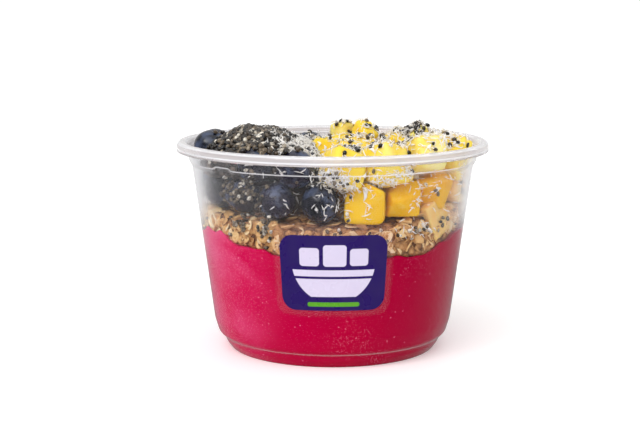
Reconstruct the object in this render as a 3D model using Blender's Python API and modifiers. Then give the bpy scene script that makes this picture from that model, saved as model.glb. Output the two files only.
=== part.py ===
"""An acai bowl: a clear tub of frozen acai with granola, blueberries, mango, chia seeds and coconut.

A Blender 4.5 script in metres, +Z up. The origin is at the middle of the tub's foot, on the table, and
the front of the tub, with its label, faces -Y. Every separate piece of the bowl is its own object.
"""

import math
import random

import bmesh
import bpy
import numpy as np
from mathutils import Matrix, Quaternion, Vector
from mathutils.bvhtree import BVHTree

MM = 0.001
GAP = 0.3 * MM  # clearance kept between pieces that touch
WIDE_GAP = 0.45 * MM  # and between pieces with facets that don't line up

# The tub
WALL = 0.7 * MM
TURNS = 50  # facets round the tub and the acai, so that one faces the front squarely
FOOD_SIDE = (  # radius and height in mm, from the floor's middle up the wall and over the rolled rim
    (0, 1.9), (34.2, 1.9), (35.3, 0.7), (38.2, 0.7), (40.0, 3.2), (40.6, 5.0), (42.8, 6.9),
    (44.2, 11.5), (51.5, 65.2),
    (52.2, 70.0), (53.3, 71.5), (54.2, 76.9), (55.6, 78.5), (57.7, 78.4), (58.5, 77.2), (58.5, 75.0),
)
WALL_START, WALL_END = 7, 8  # the points between which the wall is plain
FILLED = 8  # how many points the acai follows before the plain wall

# The layers
ACAI_LEVEL = 47.5 * MM
FRONT_DIP, BACK_DIP = 8.0 * MM, 4.0 * MM  # how much lower the acai lies at the front and the back
LEFT_DIP = 2.4 * MM  # and at the far left
FRONT = 50.0 * MM
ACAI_WAIST = 27.0 * MM  # a height half-way up its wall, which keeps its long faces square
GRANOLA_DEPTH, GRANOLA_DEPTH_FRONT = 8.3 * MM, 11.3 * MM
MOUND_HEIGHT = 8.5 * MM  # the granola is heaped in the middle, under the fruit
MOUND_FOOT, MOUND_SHOULDER = 38.5 * MM, 24.0 * MM
CORE_INSET = 2.0 * MM  # how far the granola's core stays behind its flakes
OAT_SIZE = (3.4 * MM, 2.6 * MM, 1.05 * MM)  # half the length, width and thickness of a rolled oat
OATS_ROUND, OAT_ROWS = 24, (0.12, 0.88)

# The fruit, and what is strewn on it
RING_LEVEL = 60 * MM  # about where the lowest fruit lies along the wall
INNER_RING, MIDDLE_RING = 26.5 * MM, 11.0 * MM
VALLEY_RING = 38 * MM  # between the fruit along the wall and the inner ring
SCRAP = 0.62  # the size of a small chunk of mango beside a whole one
BERRY_RADIUS = 7.3 * MM
MANGO_RADIUS = 7.1 * MM  # the ball that a chunk of mango holds
MANGO_EDGE = 1.3 * MM
HEAP_PLACE = (-27 * MM, -17 * MM)  # the chia seeds are heaped at the front left
HEAP_OUTLINE = (  # radius and height in mm
    (0, 85.0), (7, 84.3), (13, 82.2), (18, 79.4), (22, 76.5), (23, 73.5), (18, 70.0), (0, 68.0),
)
HEAP_LUMPS = 0.9 * MM
SEED_SIZE = (1.15 * MM, 0.8 * MM, 0.7 * MM)
SHRED_SIZE = (3.2 * MM, 0.9 * MM, 0.45 * MM)
SEEDS_DROPPED, SHREDS_DROPPED = 70, 36

# The label, a whole number of the tub's facets wide
LABEL_FACETS = 7
LABEL_LOW, LABEL_HIGH = 20.0 * MM, 55.0 * MM
LABEL_THICKNESS = 0.25 * MM


def food_side():
    """The tub's food side in metres."""
    return [Vector((radius * MM, height * MM)) for radius, height in FOOD_SIDE]


def shifted(profile, distance):
    """The profile moved by distance to the right of its own direction, with mitred corners."""
    moved = []
    for here, point in enumerate(profile):
        before = point - profile[here - 1] if here else profile[1] - point
        after = profile[here + 1] - point if here + 1 < len(profile) else before
        first, second = (Vector((side.y, -side.x)).normalized() for side in (before, after))
        miter = (first + second).normalized()
        moved.append(point + miter * distance / miter.dot(first))
    return moved


def wall_lean():
    """How far the plain wall leans outwards from the upright."""
    run = food_side()[WALL_END] - food_side()[WALL_START]
    return math.atan2(run.x, run.y)


def wall_radius(z):
    """The radius at height z of the plain wall's food side, and of its cone above and below it."""
    foot = food_side()[WALL_START]
    return foot.x + (z - foot.y) * math.tan(wall_lean())


def frontness(y):
    """How near a place is to the front of the wall, from 0 at the middle to 1. It takes -y for the back."""
    return np.clip(-y / FRONT, 0, 1) ** 3


def acai_top(x, y):
    """Height of the acai's uneven top."""
    swell = np.sin(x * 110 + 0.6) * np.cos(y * 95) + 0.4 * np.sin(x * 190 - y * 150 + 1.0)
    dips = FRONT_DIP * frontness(y) + BACK_DIP * frontness(-y) + LEFT_DIP * frontness(x)
    return ACAI_LEVEL - dips + 0.3 * MM * swell


def granola_top(x, y):
    """Height of the granola: a layer that is deeper at the front, with a mound in the middle."""
    depth = GRANOLA_DEPTH + (GRANOLA_DEPTH_FRONT - GRANOLA_DEPTH) * frontness(y)
    rise = np.clip((MOUND_FOOT - np.hypot(x, y)) / (MOUND_FOOT - MOUND_SHOULDER), 0, 1)
    return acai_top(x, y) + depth + MOUND_HEIGHT * rise * rise * (3 - 2 * rise)


def outward(angle):
    """The level direction at this angle from the front, counted towards +X."""
    return Vector((math.sin(angle), -math.cos(angle), 0))


def material(name, colour, roughness, alpha=1.0):
    """A plain material of this colour."""
    made = bpy.data.materials.new(name)
    made.use_nodes = True
    shader = made.node_tree.nodes["Principled BSDF"]
    shader.inputs["Base Color"].default_value = (*colour, 1)
    shader.inputs["Roughness"].default_value = roughness
    shader.inputs["Metallic"].default_value = 0.0
    shader.inputs["Alpha"].default_value = alpha
    return made


def add_object(name, mesh, collection, surface):
    """A new object for this mesh, in this collection."""
    made = bpy.data.objects.new(name, mesh)
    collection.objects.link(made)
    mesh.materials.clear()
    mesh.materials.append(surface)
    return made


def evaluated_mesh(helper):
    """The helper's mesh with its modifiers applied. The helper is removed."""
    bpy.context.view_layer.update()
    graph = bpy.context.evaluated_depsgraph_get()
    mesh = bpy.data.meshes.new_from_object(helper.evaluated_get(graph))
    bpy.data.objects.remove(helper)
    return mesh


def turned_mesh(profile, turns, angle=2 * math.pi, start=0.0, thickness=0.0):
    """The mesh that a Screw modifier turns from a profile, as a sheet of some thickness if one is given."""
    outline = bpy.data.meshes.new("outline")
    edges = [(here, here + 1) for here in range(len(profile) - 1)]
    points = [(radius * math.cos(start), radius * math.sin(start), z) for radius, z in profile]
    outline.from_pydata(points, edges, [])
    helper = bpy.data.objects.new("outline", outline)
    bpy.context.scene.collection.objects.link(helper)
    screw = helper.modifiers.new("turn", "SCREW")
    screw.angle = angle
    screw.steps = screw.render_steps = turns
    screw.use_merge_vertices = not thickness
    screw.merge_threshold = 0.01 * MM
    if thickness:
        solidify = helper.modifiers.new("sheet", "SOLIDIFY")
        solidify.thickness = thickness
        solidify.offset = 1.0
    return evaluated_mesh(helper)


def shade(mesh, angle=35):
    """Smooth shading that keeps edges sharper than the angle."""
    mesh.shade_smooth()
    mesh.set_sharp_from_angle(angle=math.radians(angle))


def combined(core, tools, operation):
    """The core with every tool, a mesh and its place, joined to it or cut from it, less loose scraps."""
    scene = bpy.context.scene.collection
    helper = bpy.data.objects.new("core", core)
    scene.objects.link(helper)
    group = bpy.data.collections.new("tools")
    scene.children.link(group)
    for mesh, place in tools:
        tool = bpy.data.objects.new("tool", mesh)
        tool.matrix_world = place
        group.objects.link(tool)
    boolean = helper.modifiers.new("combine", "BOOLEAN")
    boolean.operation = operation
    boolean.solver = "MANIFOLD"
    boolean.operand_type = "COLLECTION"
    boolean.collection = group
    mesh = evaluated_mesh(helper)
    for tool in list(group.objects):
        bpy.data.objects.remove(tool)
    bpy.data.collections.remove(group)
    return largest_piece(mesh)


def largest_piece(mesh):
    """The mesh with only its largest connected part left."""
    shape = bmesh.new()
    shape.from_mesh(mesh)
    unseen, parts = set(shape.verts), []
    while unseen:
        part = [unseen.pop()]
        for point in part:
            near = {edge.other_vert(point) for edge in point.link_edges} & unseen
            unseen -= near
            part.extend(near)
        parts.append(part)
    scraps = sorted(parts, key=len)[:-1]
    bmesh.ops.delete(shape, geom=[point for part in scraps for point in part], context="VERTS")
    bmesh.ops.triangulate(shape, faces=shape.faces)
    shape.to_mesh(mesh)
    shape.free()
    return mesh


def make_tub(collection):
    """The clear tub: one sheet of plastic with a foot, a stacking ledge and a rolled rim."""
    inside = food_side()
    outside = shifted(inside, WALL)
    mesh = turned_mesh(inside + outside[::-1], TURNS)
    shade(mesh)
    add_object("tub", mesh, collection, material("clear_plastic", (0.9, 0.9, 0.92), 0.1, 0.3))


def make_label(collection):
    """The clear film label, a sheet that follows the front of the wall."""
    facet = 2 * math.pi / TURNS
    start = -math.pi / 2 - LABEL_FACETS * facet / 2
    profile = [(wall_radius(z) + WALL + 1.1 * GAP, z) for z in (LABEL_HIGH, LABEL_LOW)]
    mesh = turned_mesh(profile, LABEL_FACETS, LABEL_FACETS * facet, start, LABEL_THICKNESS)
    add_object("label", mesh, collection, material("printed_film", (0.82, 0.79, 0.9), 0.35))


def make_acai(collection):
    """The frozen acai, which fills the tub's foot and its wall up to the acai's own level."""
    wall = shifted(food_side()[:FILLED], -GAP)
    wall += [Vector((wall_radius(z) - 1.1 * GAP, z)) for z in (ACAI_WAIST, ACAI_LEVEL)]
    top = [Vector((wall[-1].x * share, ACAI_LEVEL)) for share in (0, 0.4, 0.75)]
    mesh = turned_mesh(top + wall[::-1], TURNS)
    for point in mesh.vertices:
        if point.co.z > ACAI_LEVEL - 0.1 * MM:
            height = float(acai_top(point.co.x, point.co.y))
            narrowed = (wall_radius(height) - 1.1 * GAP) / wall[-1].x
            point.co = (point.co.x * narrowed, point.co.y * narrowed, height)
    shade(mesh)
    add_object("acai", mesh, collection, material("frozen_acai", (0.55, 0.0, 0.045), 0.45))


def ball_mesh(segments, rings):
    """A ball one unit in radius."""
    shape = bmesh.new()
    bmesh.ops.create_uvsphere(shape, u_segments=segments, v_segments=rings, radius=1)
    mesh = bpy.data.meshes.new("ball")
    shape.to_mesh(mesh)
    shape.free()
    return mesh


def oats_at_wall(edge, draw):
    """Places for rolled oats that stand face out against the wall, in rows inside the granola's depth."""
    upright = Vector((0, 0, 1))
    for row, level in enumerate(OAT_ROWS):
        for number in range(OATS_ROUND):
            out = outward(2 * math.pi * (number + row / 2 + draw.uniform(-0.2, 0.2)) / OATS_ROUND)
            stretch = Matrix.Diagonal([side * draw.uniform(0.82, 1.12) for side in OAT_SIZE])
            facing = out.to_track_quat("Z", "Y") @ Quaternion((0, 0, 1), draw.uniform(-0.8, 0.8))
            turn = (facing @ Quaternion((1, 0, 0), draw.uniform(-0.5, 0.5))).to_matrix()
            reach, height = ((stretch @ turn.transposed() @ way).length for way in (out, upright))
            x, y = out.x * edge, out.y * edge
            low = float(acai_top(x, y)) + 2 * GAP + height
            high = float(granola_top(x, y)) - height
            z = low + max(high - low, 0) * level
            away = min(wall_radius(z - height), wall_radius(z)) - WIDE_GAP - reach
            yield Matrix.Translation(out * away + upright * z) @ (turn @ stretch).to_4x4()


def make_granola(collection):
    """The granola: a core that is heaped in the middle, with rolled oats fused on round its edge."""
    edge = wall_radius(ACAI_LEVEL + GRANOLA_DEPTH / 2) - CORE_INSET
    above, below = ACAI_LEVEL + GRANOLA_DEPTH, ACAI_LEVEL
    profile = [(edge * share, above) for share in (0, 0.3, 0.52, 0.6, 0.68, 0.78, 1)]
    profile += [(edge * share, below) for share in (1, 0.66, 0.33, 0)]
    core = turned_mesh(profile, 30)
    for point in core.vertices:
        x, y, z = point.co
        height = granola_top(x, y) if z > (above + below) / 2 else acai_top(x, y) + WIDE_GAP
        point.co.z = float(height)
    oat = ball_mesh(6, 4)
    tools = [(oat, place) for place in oats_at_wall(edge, random.Random(11))]
    mesh = combined(core, tools, "UNION")
    add_object("granola", mesh, collection, material("toasted_oats", (0.55, 0.33, 0.13), 0.8))


class Fruit:
    """A piece of fruit: its kind, the ball that it holds, its middle, how it is turned and its mesh."""

    def __init__(self, kind, radius, middle, turn):
        self.kind, self.radius, self.middle, self.turn = kind, radius, middle, turn
        self.mesh = None

    def place(self):
        """Where its mesh goes in the world."""
        return Matrix.Translation(self.middle) @ self.turn.to_matrix().to_4x4()


def rest_height(x, y, radius, laid):
    """How high a ball comes to rest when it is lowered at x, y on to the granola and the fruit laid."""
    heights = [float(granola_top(x, y)) + radius]
    round_it = np.linspace(0, 2 * math.pi, 12, endpoint=False)
    for share in (0.4, 0.7, 0.9):
        reach = radius * share
        ground = granola_top(x + reach * np.cos(round_it), y + reach * np.sin(round_it))
        heights.append(float(ground.max()) + radius * math.sqrt(1 - share * share))
    height = max(heights) + WIDE_GAP
    for other in laid:
        apart = radius + other.radius + GAP
        level = math.hypot(x - other.middle.x, y - other.middle.y)
        if level < apart:
            height = max(height, other.middle.z + math.sqrt(apart * apart - level * level))
    return height


def resting_at(angle, away, radius, laid):
    """Where a ball rests at this angle from the front and this distance from the tub's middle."""
    out = outward(angle) * away
    return Vector((out.x, out.y, rest_height(out.x, out.y, radius, laid)))


def resting_on_wall(angle, radius, laid):
    """Where a ball rests when it leans on the wall at this angle from the front."""
    away = wall_radius(RING_LEVEL) - radius
    for _ in range(6):
        middle = resting_at(angle, away, radius, laid)
        touch = middle.z - radius * math.sin(wall_lean())
        away = wall_radius(touch) - (radius + WIDE_GAP) / math.cos(wall_lean())
    return middle


def lay_fruit():
    """Every piece of fruit, laid from the granola up: blueberries on the left and mango on the right."""
    draw = random.Random(5)
    laid = []

    def new_radius(kind):
        if kind == "blueberry":
            return BERRY_RADIUS * draw.uniform(0.93, 1.07)
        return MANGO_RADIUS * draw.uniform(0.88, 1.12)

    def add(kind, radius, middle):
        lean = Quaternion(outward(draw.uniform(0, 2 * math.pi)), draw.uniform(0.1, 1.0))
        if kind == "blueberry":
            lean = Quaternion(outward(draw.uniform(0, 2 * math.pi)), draw.uniform(0.3, 2.2))
        spin = Quaternion((0, 0, 1), draw.uniform(0, 2 * math.pi))
        laid.append(Fruit(kind, radius, middle, lean @ spin))

    def lay_along_wall(kind, first, last, slack):
        """A row along the wall between two angles, each piece beside the one before."""
        way = 1 if last > first else -1
        angle, radius = math.radians(first), new_radius(kind)
        while way * angle <= way * math.radians(last):
            middle = resting_on_wall(angle, radius, laid)
            add(kind, radius, middle)
            following = new_radius(kind)
            chord = (radius + following + slack) / (2 * middle.xy.length)
            angle, radius = angle + way * 2 * math.asin(chord), following

    def lay_on_wall(kind, degrees, size=1.0):
        """Pieces that lean on the wall at these angles from the front."""
        for angle in degrees:
            radius = size * new_radius(kind)
            add(kind, radius, resting_on_wall(math.radians(angle), radius, laid))

    def lay_round(kind, away, degrees, size=1.0):
        """Pieces at this distance from the tub's middle, at these angles from the front."""
        for angle in degrees:
            radius = size * new_radius(kind)
            add(kind, radius, resting_at(math.radians(angle), away, radius, laid))

    lay_along_wall("blueberry", -6, -178, 1.4 * MM)
    lay_along_wall("mango", 15, 168, 0.6 * MM)
    lay_round("blueberry", INNER_RING, (-24, -58, -92, -126, -160))
    lay_round("mango", INNER_RING, (10, 45, 81, 117, 152))
    lay_on_wall("blueberry", (-17, -37.5, -59, -86), 0.95)
    lay_on_wall("mango", (4, 24))
    lay_on_wall("mango", (45, 65), 0.86)
    lay_on_wall("mango", (88,), SCRAP)
    lay_on_wall("blueberry", (-103,), 0.84)
    lay_round("blueberry", VALLEY_RING, (-143,), 0.92)
    lay_round("blueberry", MIDDLE_RING, (-115,))
    lay_round("mango", MIDDLE_RING, (-20, 68, 156))
    lay_round("mango", 1.7 * MIDDLE_RING, (139, 168), SCRAP)
    return laid


def berry_mesh(radius):
    """A blueberry turned from its outline, with the round crown that its flower leaves on top."""
    lifts = np.linspace(1.05, -1.15, 5)
    outline = [(0, 0.72), (0.27, 0.92), (0.38, 0.86)]
    outline += [(math.cos(lift), 0.9 * math.sin(lift)) for lift in lifts]
    outline += [(0, -0.9)]
    mesh = turned_mesh([(radius * x, radius * z) for x, z in outline], 9)
    shade(mesh, 60)
    return mesh


def planes_against_fruit(fruit, laid):
    """Planes between a chunk and its neighbours, as the way to each and how far off it lies."""
    for other in laid:
        way = other.middle - fruit.middle
        apart = way.length
        if other is fruit or apart > 1.9 * (fruit.radius + other.radius):
            continue
        room = apart - other.radius - GAP
        if other.kind == "mango":
            room = (apart + fruit.radius - other.radius - GAP) / 2
        yield way.normalized(), room


def planes_against_wall(fruit):
    """Planes that keep a chunk inside the wall."""
    lean = wall_lean()
    angle = math.atan2(fruit.middle.x, -fruit.middle.y)
    for turn in np.linspace(-0.36, 0.36, 7):
        out = outward(angle + float(turn))
        way = out * math.cos(lean) - Vector((0, 0, math.sin(lean)))
        on_wall = out * (wall_radius(fruit.middle.z) - WIDE_GAP) + Vector((0, 0, fruit.middle.z))
        yield way, (on_wall - fruit.middle).dot(way)


def planes_against_granola(fruit):
    """Planes that keep a chunk above the granola under it."""
    step, spread = 0.2 * MM, np.linspace(-9 * MM, 9 * MM, 5)
    for across in spread:
        for along in spread:
            x, y = fruit.middle.x + across, fruit.middle.y + along
            ground = float(granola_top(x, y))
            rise_x = float(granola_top(x + step, y)) - ground
            rise_y = float(granola_top(x, y + step)) - ground
            way = Vector((rise_x, rise_y, -step)).normalized()
            yield way, (Vector((x, y, ground)) - fruit.middle).dot(way) - 3 * GAP


def mango_mesh(fruit, laid):
    """A diced chunk of mango: a box with chamfered edges, pressed flat where it meets its neighbours."""
    draw = random.Random(round(fruit.middle.x / MM * 97 + fruit.middle.y / MM * 31))
    sides = [2 * fruit.radius * draw.uniform(0.92, 1.08) for _ in range(3)]
    shape = bmesh.new()
    bmesh.ops.create_cube(shape, size=1)
    bmesh.ops.scale(shape, vec=sides, verts=shape.verts)
    bmesh.ops.bevel(shape, geom=shape.edges[:], offset=MANGO_EDGE, segments=1, affect="EDGES")
    back = fruit.turn.inverted()
    planes = [*planes_against_fruit(fruit, laid), *planes_against_wall(fruit)]
    planes += planes_against_granola(fruit)
    for way, room in planes:
        way = back @ way
        bmesh.ops.bisect_plane(
            shape, geom=[*shape.verts, *shape.edges, *shape.faces], dist=1e-7,
            plane_co=way * room, plane_no=way, clear_outer=True,
        )
        bmesh.ops.holes_fill(shape, edges=[edge for edge in shape.edges if edge.is_boundary])
    bmesh.ops.remove_doubles(shape, verts=shape.verts, dist=0.15 * MM)
    return hull_mesh([point.co.copy() for point in shape.verts])


def hull_mesh(points):
    """The convex hull of the points."""
    shape = bmesh.new()
    for point in points:
        shape.verts.new(point)
    hull = bmesh.ops.convex_hull(shape, input=shape.verts)
    inner = [item for item in hull["geom_interior"] if isinstance(item, bmesh.types.BMVert)]
    bmesh.ops.delete(shape, geom=inner, context="VERTS")
    bmesh.ops.dissolve_limit(shape, angle_limit=0.03, verts=shape.verts, edges=shape.edges)
    bmesh.ops.triangulate(shape, faces=shape.faces)
    bmesh.ops.recalc_face_normals(shape, faces=shape.faces)
    mesh = bpy.data.meshes.new("hull")
    shape.to_mesh(mesh)
    shape.free()
    return mesh


def heap_mesh(laid):
    """The heap of chia seeds, a lumpy mound that fills the hollows between the berries under it."""
    mound = turned_mesh([(radius * MM, z * MM) for radius, z in HEAP_OUTLINE], 15)
    mound.transform(Matrix.Translation((*HEAP_PLACE, 0)))
    for point in mound.vertices:
        x, y, z = point.co
        lump = HEAP_LUMPS * (math.sin(x * 330) * math.cos(y * 290) + math.sin((x + y) * 210))
        inside = min(1, (wall_radius(z) - 2 * GAP) / math.hypot(x, y))
        point.co = (x * inside, y * inside, z + lump)
    cutters = []
    for fruit in laid:
        if (fruit.middle.xy - Vector(HEAP_PLACE)).length < 30 * MM:
            grown = Matrix.Scale(1 + 1.2 * GAP / fruit.radius, 4)
            cutters.append((fruit.mesh, fruit.place() @ grown))
    return combined(mound, cutters, "DIFFERENCE")


def surface_tree(mesh, place):
    """A search tree of the mesh's faces in the world."""
    points = [place @ point.co for point in mesh.vertices]
    return BVHTree.FromPolygons(points, [face.vertices for face in mesh.polygons])


def strewn(trees, draw, count, size, spots):
    """Small things dropped from above: for each, the piece that it lands on and its place there.

    Each falls near one of the spots, a place and how far things scatter round it. One that would touch a
    second piece or the tub is left out, and so is one that lies over another.
    """
    landed = []
    for _ in range(count):
        x, y, scatter = draw.choice(spots)
        start = Vector((draw.gauss(x, scatter), draw.gauss(y, scatter), 0.2))
        hits = [(tree.ray_cast(start, Vector((0, 0, -1))), number) for number, tree in enumerate(trees)]
        hits = [(hit[0], hit[1], number) for hit, number in hits if hit[0]]
        if not hits:
            continue
        point, normal, owner = max(hits, key=lambda hit: hit[0].z)
        others = (tree for number, tree in enumerate(trees) if number != owner)
        room = size[0] + 2 * GAP
        crowded = any(tree.find_nearest(point, room)[0] for tree in others)
        crowded = crowded or any((point - other[1].translation).length < room for other in landed)
        if crowded or normal.z < 0.35 or point.xy.length > wall_radius(point.z) - room:
            continue
        facing = normal.to_track_quat("Z", "Y") @ Quaternion((0, 0, 1), draw.uniform(0, math.pi))
        stretch = Matrix.Diagonal([side * draw.uniform(0.85, 1.1) for side in size])
        turned = (facing.to_matrix() @ stretch).to_4x4()
        landed.append((owner, Matrix.Translation(point + normal * 0.15 * size[2]) @ turned))
    return landed


def make_toppings(collection):
    """The fruit and the chia heap, with the seeds and coconut shreds that show from a step away on them."""
    laid = lay_fruit()
    for fruit in laid:
        if fruit.kind == "blueberry":
            fruit.mesh = berry_mesh(fruit.radius)
    for fruit in laid:
        if fruit.kind == "mango":
            fruit.mesh = mango_mesh(fruit, laid)
    heap = heap_mesh(laid)
    pieces = [(fruit.mesh, fruit.place()) for fruit in laid] + [(heap, Matrix())]
    trees = [surface_tree(mesh, place) for mesh, place in pieces]

    draw = random.Random(23)
    seed, shred = ball_mesh(5, 3), bpy.data.meshes.new("shred")
    box = bmesh.new()
    bmesh.ops.create_cube(box, size=2)
    box.to_mesh(shred)
    box.free()
    on_heap = [(*HEAP_PLACE, 9 * MM)]
    on_fruit = [(20 * MM, 0.0, 16 * MM), (-12 * MM, 22 * MM, 16 * MM)]
    seeds = strewn(trees, draw, SEEDS_DROPPED, SEED_SIZE, 3 * on_heap + on_fruit)
    shreds = strewn(trees, draw, SHREDS_DROPPED, SHRED_SIZE, [(6 * MM, -6 * MM, 18 * MM)])
    clear = 2 * SHRED_SIZE[0]
    shreds = [
        (owner, place) for owner, place in shreds
        if all((place.translation - other.translation).length > clear for _, other in seeds)
    ]

    surfaces = {
        "blueberry": material("blueberry_skin", (0.03, 0.04, 0.08), 0.4),
        "mango": material("mango_flesh", (0.9, 0.55, 0.02), 0.35),
        "chia": material("chia_seeds", (0.09, 0.07, 0.06), 0.5),
    }
    kinds = [fruit.kind for fruit in laid] + ["chia"]
    counts = dict.fromkeys(surfaces, 0)
    for number, (mesh, place) in enumerate(pieces):
        kind = kinds[number]
        counts[kind] += 1
        back = place.inverted()
        tools = [(seed, back @ spot) for owner, spot in seeds if owner == number]
        tools += [(shred, back @ spot) for owner, spot in shreds if owner == number]
        if tools:
            mesh = combined(mesh, tools, "UNION")
        name = "chia_heap" if kind == "chia" else f"{kind}_{counts[kind]:02d}"
        add_object(name, mesh, collection, surfaces[kind]).matrix_world = place


def main():
    for old in list(bpy.data.objects):
        bpy.data.objects.remove(old)
    bowl = bpy.data.collections.new("acai_bowl")
    bpy.context.scene.collection.children.link(bowl)
    make_tub(bowl)
    make_label(bowl)
    make_acai(bowl)
    make_granola(bowl)
    make_toppings(bowl)


main()
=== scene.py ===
# %% [markdown]
# # An acai bowl in a clear tub
# The solids of this bowl are packed already: a clear tub with its label, frozen acai, granola, blueberries,
# diced mango and a heap of chia seeds. This lesson gives each of them its fine shape and its finish. Most
# shapes are surfaces worked out with numpy, as a function of two numbers on a grid, and every finish is a
# small tree of shader nodes. Lengths are in metres, with MM to write them in millimetres.

import math

import bpy
import numpy as np
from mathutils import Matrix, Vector
from mathutils.bvhtree import BVHTree


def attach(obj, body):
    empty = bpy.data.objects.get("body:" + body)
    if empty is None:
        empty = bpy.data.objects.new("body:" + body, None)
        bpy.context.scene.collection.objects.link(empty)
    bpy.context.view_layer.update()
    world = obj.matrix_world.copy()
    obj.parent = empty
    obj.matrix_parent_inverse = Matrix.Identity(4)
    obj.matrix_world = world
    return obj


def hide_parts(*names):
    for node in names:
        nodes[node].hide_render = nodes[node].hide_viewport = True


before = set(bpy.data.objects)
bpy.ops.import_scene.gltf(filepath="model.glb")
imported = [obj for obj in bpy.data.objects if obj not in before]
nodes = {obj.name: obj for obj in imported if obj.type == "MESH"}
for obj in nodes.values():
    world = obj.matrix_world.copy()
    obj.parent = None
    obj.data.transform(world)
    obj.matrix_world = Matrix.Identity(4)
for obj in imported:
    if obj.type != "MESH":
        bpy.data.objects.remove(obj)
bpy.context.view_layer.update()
MM = 0.001
print("packed nodes:", len(nodes))

# %% [markdown]
# ## The camera
# The photograph was taken from a little above the rim, from about half a metre away. A pinhole camera fitted
# to the ellipses of the rim and the foot gives the place, the tilt and the lens.

# %% The camera
CAMERA_PLACE = (-4.73 * MM, -560 * MM, 137.12 * MM)
CAMERA_DOWN = math.radians(8.823)
camera_data = bpy.data.cameras.new("camera")
camera_data.lens = 83.88
camera_data.sensor_width = 36
camera_data.clip_start = 0.01
camera = bpy.data.objects.new("camera", camera_data)
camera.location = CAMERA_PLACE
camera.rotation_euler = (math.pi / 2 - CAMERA_DOWN, 0, 0)
bpy.context.scene.collection.objects.link(camera)
bpy.context.scene.camera = camera
print("camera looks down by", round(math.degrees(CAMERA_DOWN), 1), "degrees")

# %% [markdown]
# ## Ways to make a mesh
# A turned shape, a seed and a berry are all the same thing to the computer: rows of points that close on
# themselves, with a pole at each end. So one pair of functions numbers their faces, one puts points and faces
# into a mesh, and one repeats a small shape at many places.

# %% Faces between rows of points


def ring_faces(rows, columns):
    """Quads between rows of points that close on themselves. The points are numbered row by row.

    With each row counted anticlockwise from above, and the rows going up, the faces look outwards.
    """
    row, column = np.meshgrid(np.arange(rows - 1), np.arange(columns), indexing="ij")
    row, column = row.ravel(), column.ravel()
    beside = (column + 1) % columns
    low, high = row * columns, (row + 1) * columns
    return np.stack([low + column, low + beside, high + beside, high + column], axis=1)


def ball_faces(rows, columns):
    """Quads between the rows, and triangles to a pole under the first row and one over the last.

    The lower pole is the point after the last row, and the upper pole is the one after that.
    """
    around = np.arange(columns)
    beside = (around + 1) % columns
    last = (rows - 1) * columns
    under = np.stack([beside, around, np.full(columns, rows * columns)], axis=1)
    over = np.stack([last + around, last + beside, np.full(columns, rows * columns + 1)], axis=1)
    return ring_faces(rows, columns), np.concatenate([under, over])


# %% From arrays to a mesh


def mesh_object(name, points, faces, material=None, values=None):
    """An object for arrays of points and of faces, smoothly shaded, that rides on the bowl.

    values are named arrays with one number for each point, which a material can read as attributes.
    """
    mesh = bpy.data.meshes.new(name)
    corners = np.concatenate([part.ravel() for part in faces])
    sizes = np.concatenate([np.full(len(part), part.shape[1]) for part in faces])
    mesh.vertices.add(len(points))
    mesh.vertices.foreach_set("co", points.astype(np.float32).ravel())
    mesh.loops.add(len(corners))
    mesh.loops.foreach_set("vertex_index", corners.astype(np.int32))
    mesh.polygons.add(len(sizes))
    mesh.polygons.foreach_set("loop_start", (np.cumsum(sizes) - sizes).astype(np.int32))
    mesh.update(calc_edges=True)
    for label, numbers in (values or {}).items():
        attribute = mesh.attributes.new(label, "FLOAT", "POINT")
        attribute.data.foreach_set("value", numbers.astype(np.float32))
    mesh.shade_smooth()
    made = bpy.data.objects.new(name, mesh)
    bpy.context.scene.collection.objects.link(made)
    if material:
        mesh.materials.append(material)
    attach(made, "root")
    print(name, "has", len(sizes), "faces")
    return made


def repeated(shape, faces, turns, places):
    """Points and faces of a small shape at every place. turns holds a 3 by 3 matrix for each place."""
    points = np.einsum("nij,pj->npi", turns, shape) + places[:, None]
    starts = np.arange(len(places))[:, None, None] * len(shape)
    return points.reshape(-1, 3), [(part[None] + starts).reshape(-1, part.shape[1]) for part in faces]


def joined(batches):
    """Several (points, faces) as one, for shapes that are not alike."""
    points, faces, start = [], {}, 0
    for some_points, some_faces in batches:
        points.append(some_points)
        for part in some_faces:
            faces.setdefault(part.shape[1], []).append(part + start)
        start += len(some_points)
    return np.concatenate(points), [np.concatenate(parts) for parts in faces.values()]


# %% Turns that lay a thing on a surface


def unit(vectors):
    """The vectors at length one."""
    return vectors / np.linalg.norm(vectors, axis=-1, keepdims=True)


def turns_on(normals, spins):
    """Matrices that stand z along each normal and turn x about it by each spin."""
    helper = np.where(np.abs(normals[:, 2:]) < 0.9, (0.0, 0.0, 1.0), (1.0, 0.0, 0.0))
    side = unit(np.cross(helper, normals))
    along = np.cross(normals, side)
    x = side * np.cos(spins)[:, None] + along * np.sin(spins)[:, None]
    return np.stack([x, np.cross(normals, x), normals], axis=2)


def directions(count):
    """Directions spread evenly over a ball, along a spiral that turns by the golden angle."""
    height = 1 - (2 * np.arange(count) + 1) / count
    turn = np.arange(count) * math.pi * (3 - math.sqrt(5))
    level = np.sqrt(1 - height * height)
    return np.stack([level * np.cos(turn), level * np.sin(turn), height], axis=1)


# %% [markdown]
# ## Ways to make a finish
# A finish is a tree of nodes. The class below only shortens the writing: each method adds one node and
# returns the socket that comes out of it, so a finish reads as a few lines of sums. Patterns read Object
# coordinates, which are metres here, so a noise with scale 1000 has features of about a millimetre.

# %% A short way to write node trees


def srgb(red, green, blue):
    """A colour as a screen shows it, from 0 to 255, as the linear numbers that a shader takes."""
    shown = np.array([red, green, blue]) / 255
    linear = np.where(shown <= 0.04045, shown / 12.92, ((shown + 0.055) / 1.055) ** 2.4)
    return (*linear.tolist(), 1.0)


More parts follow.
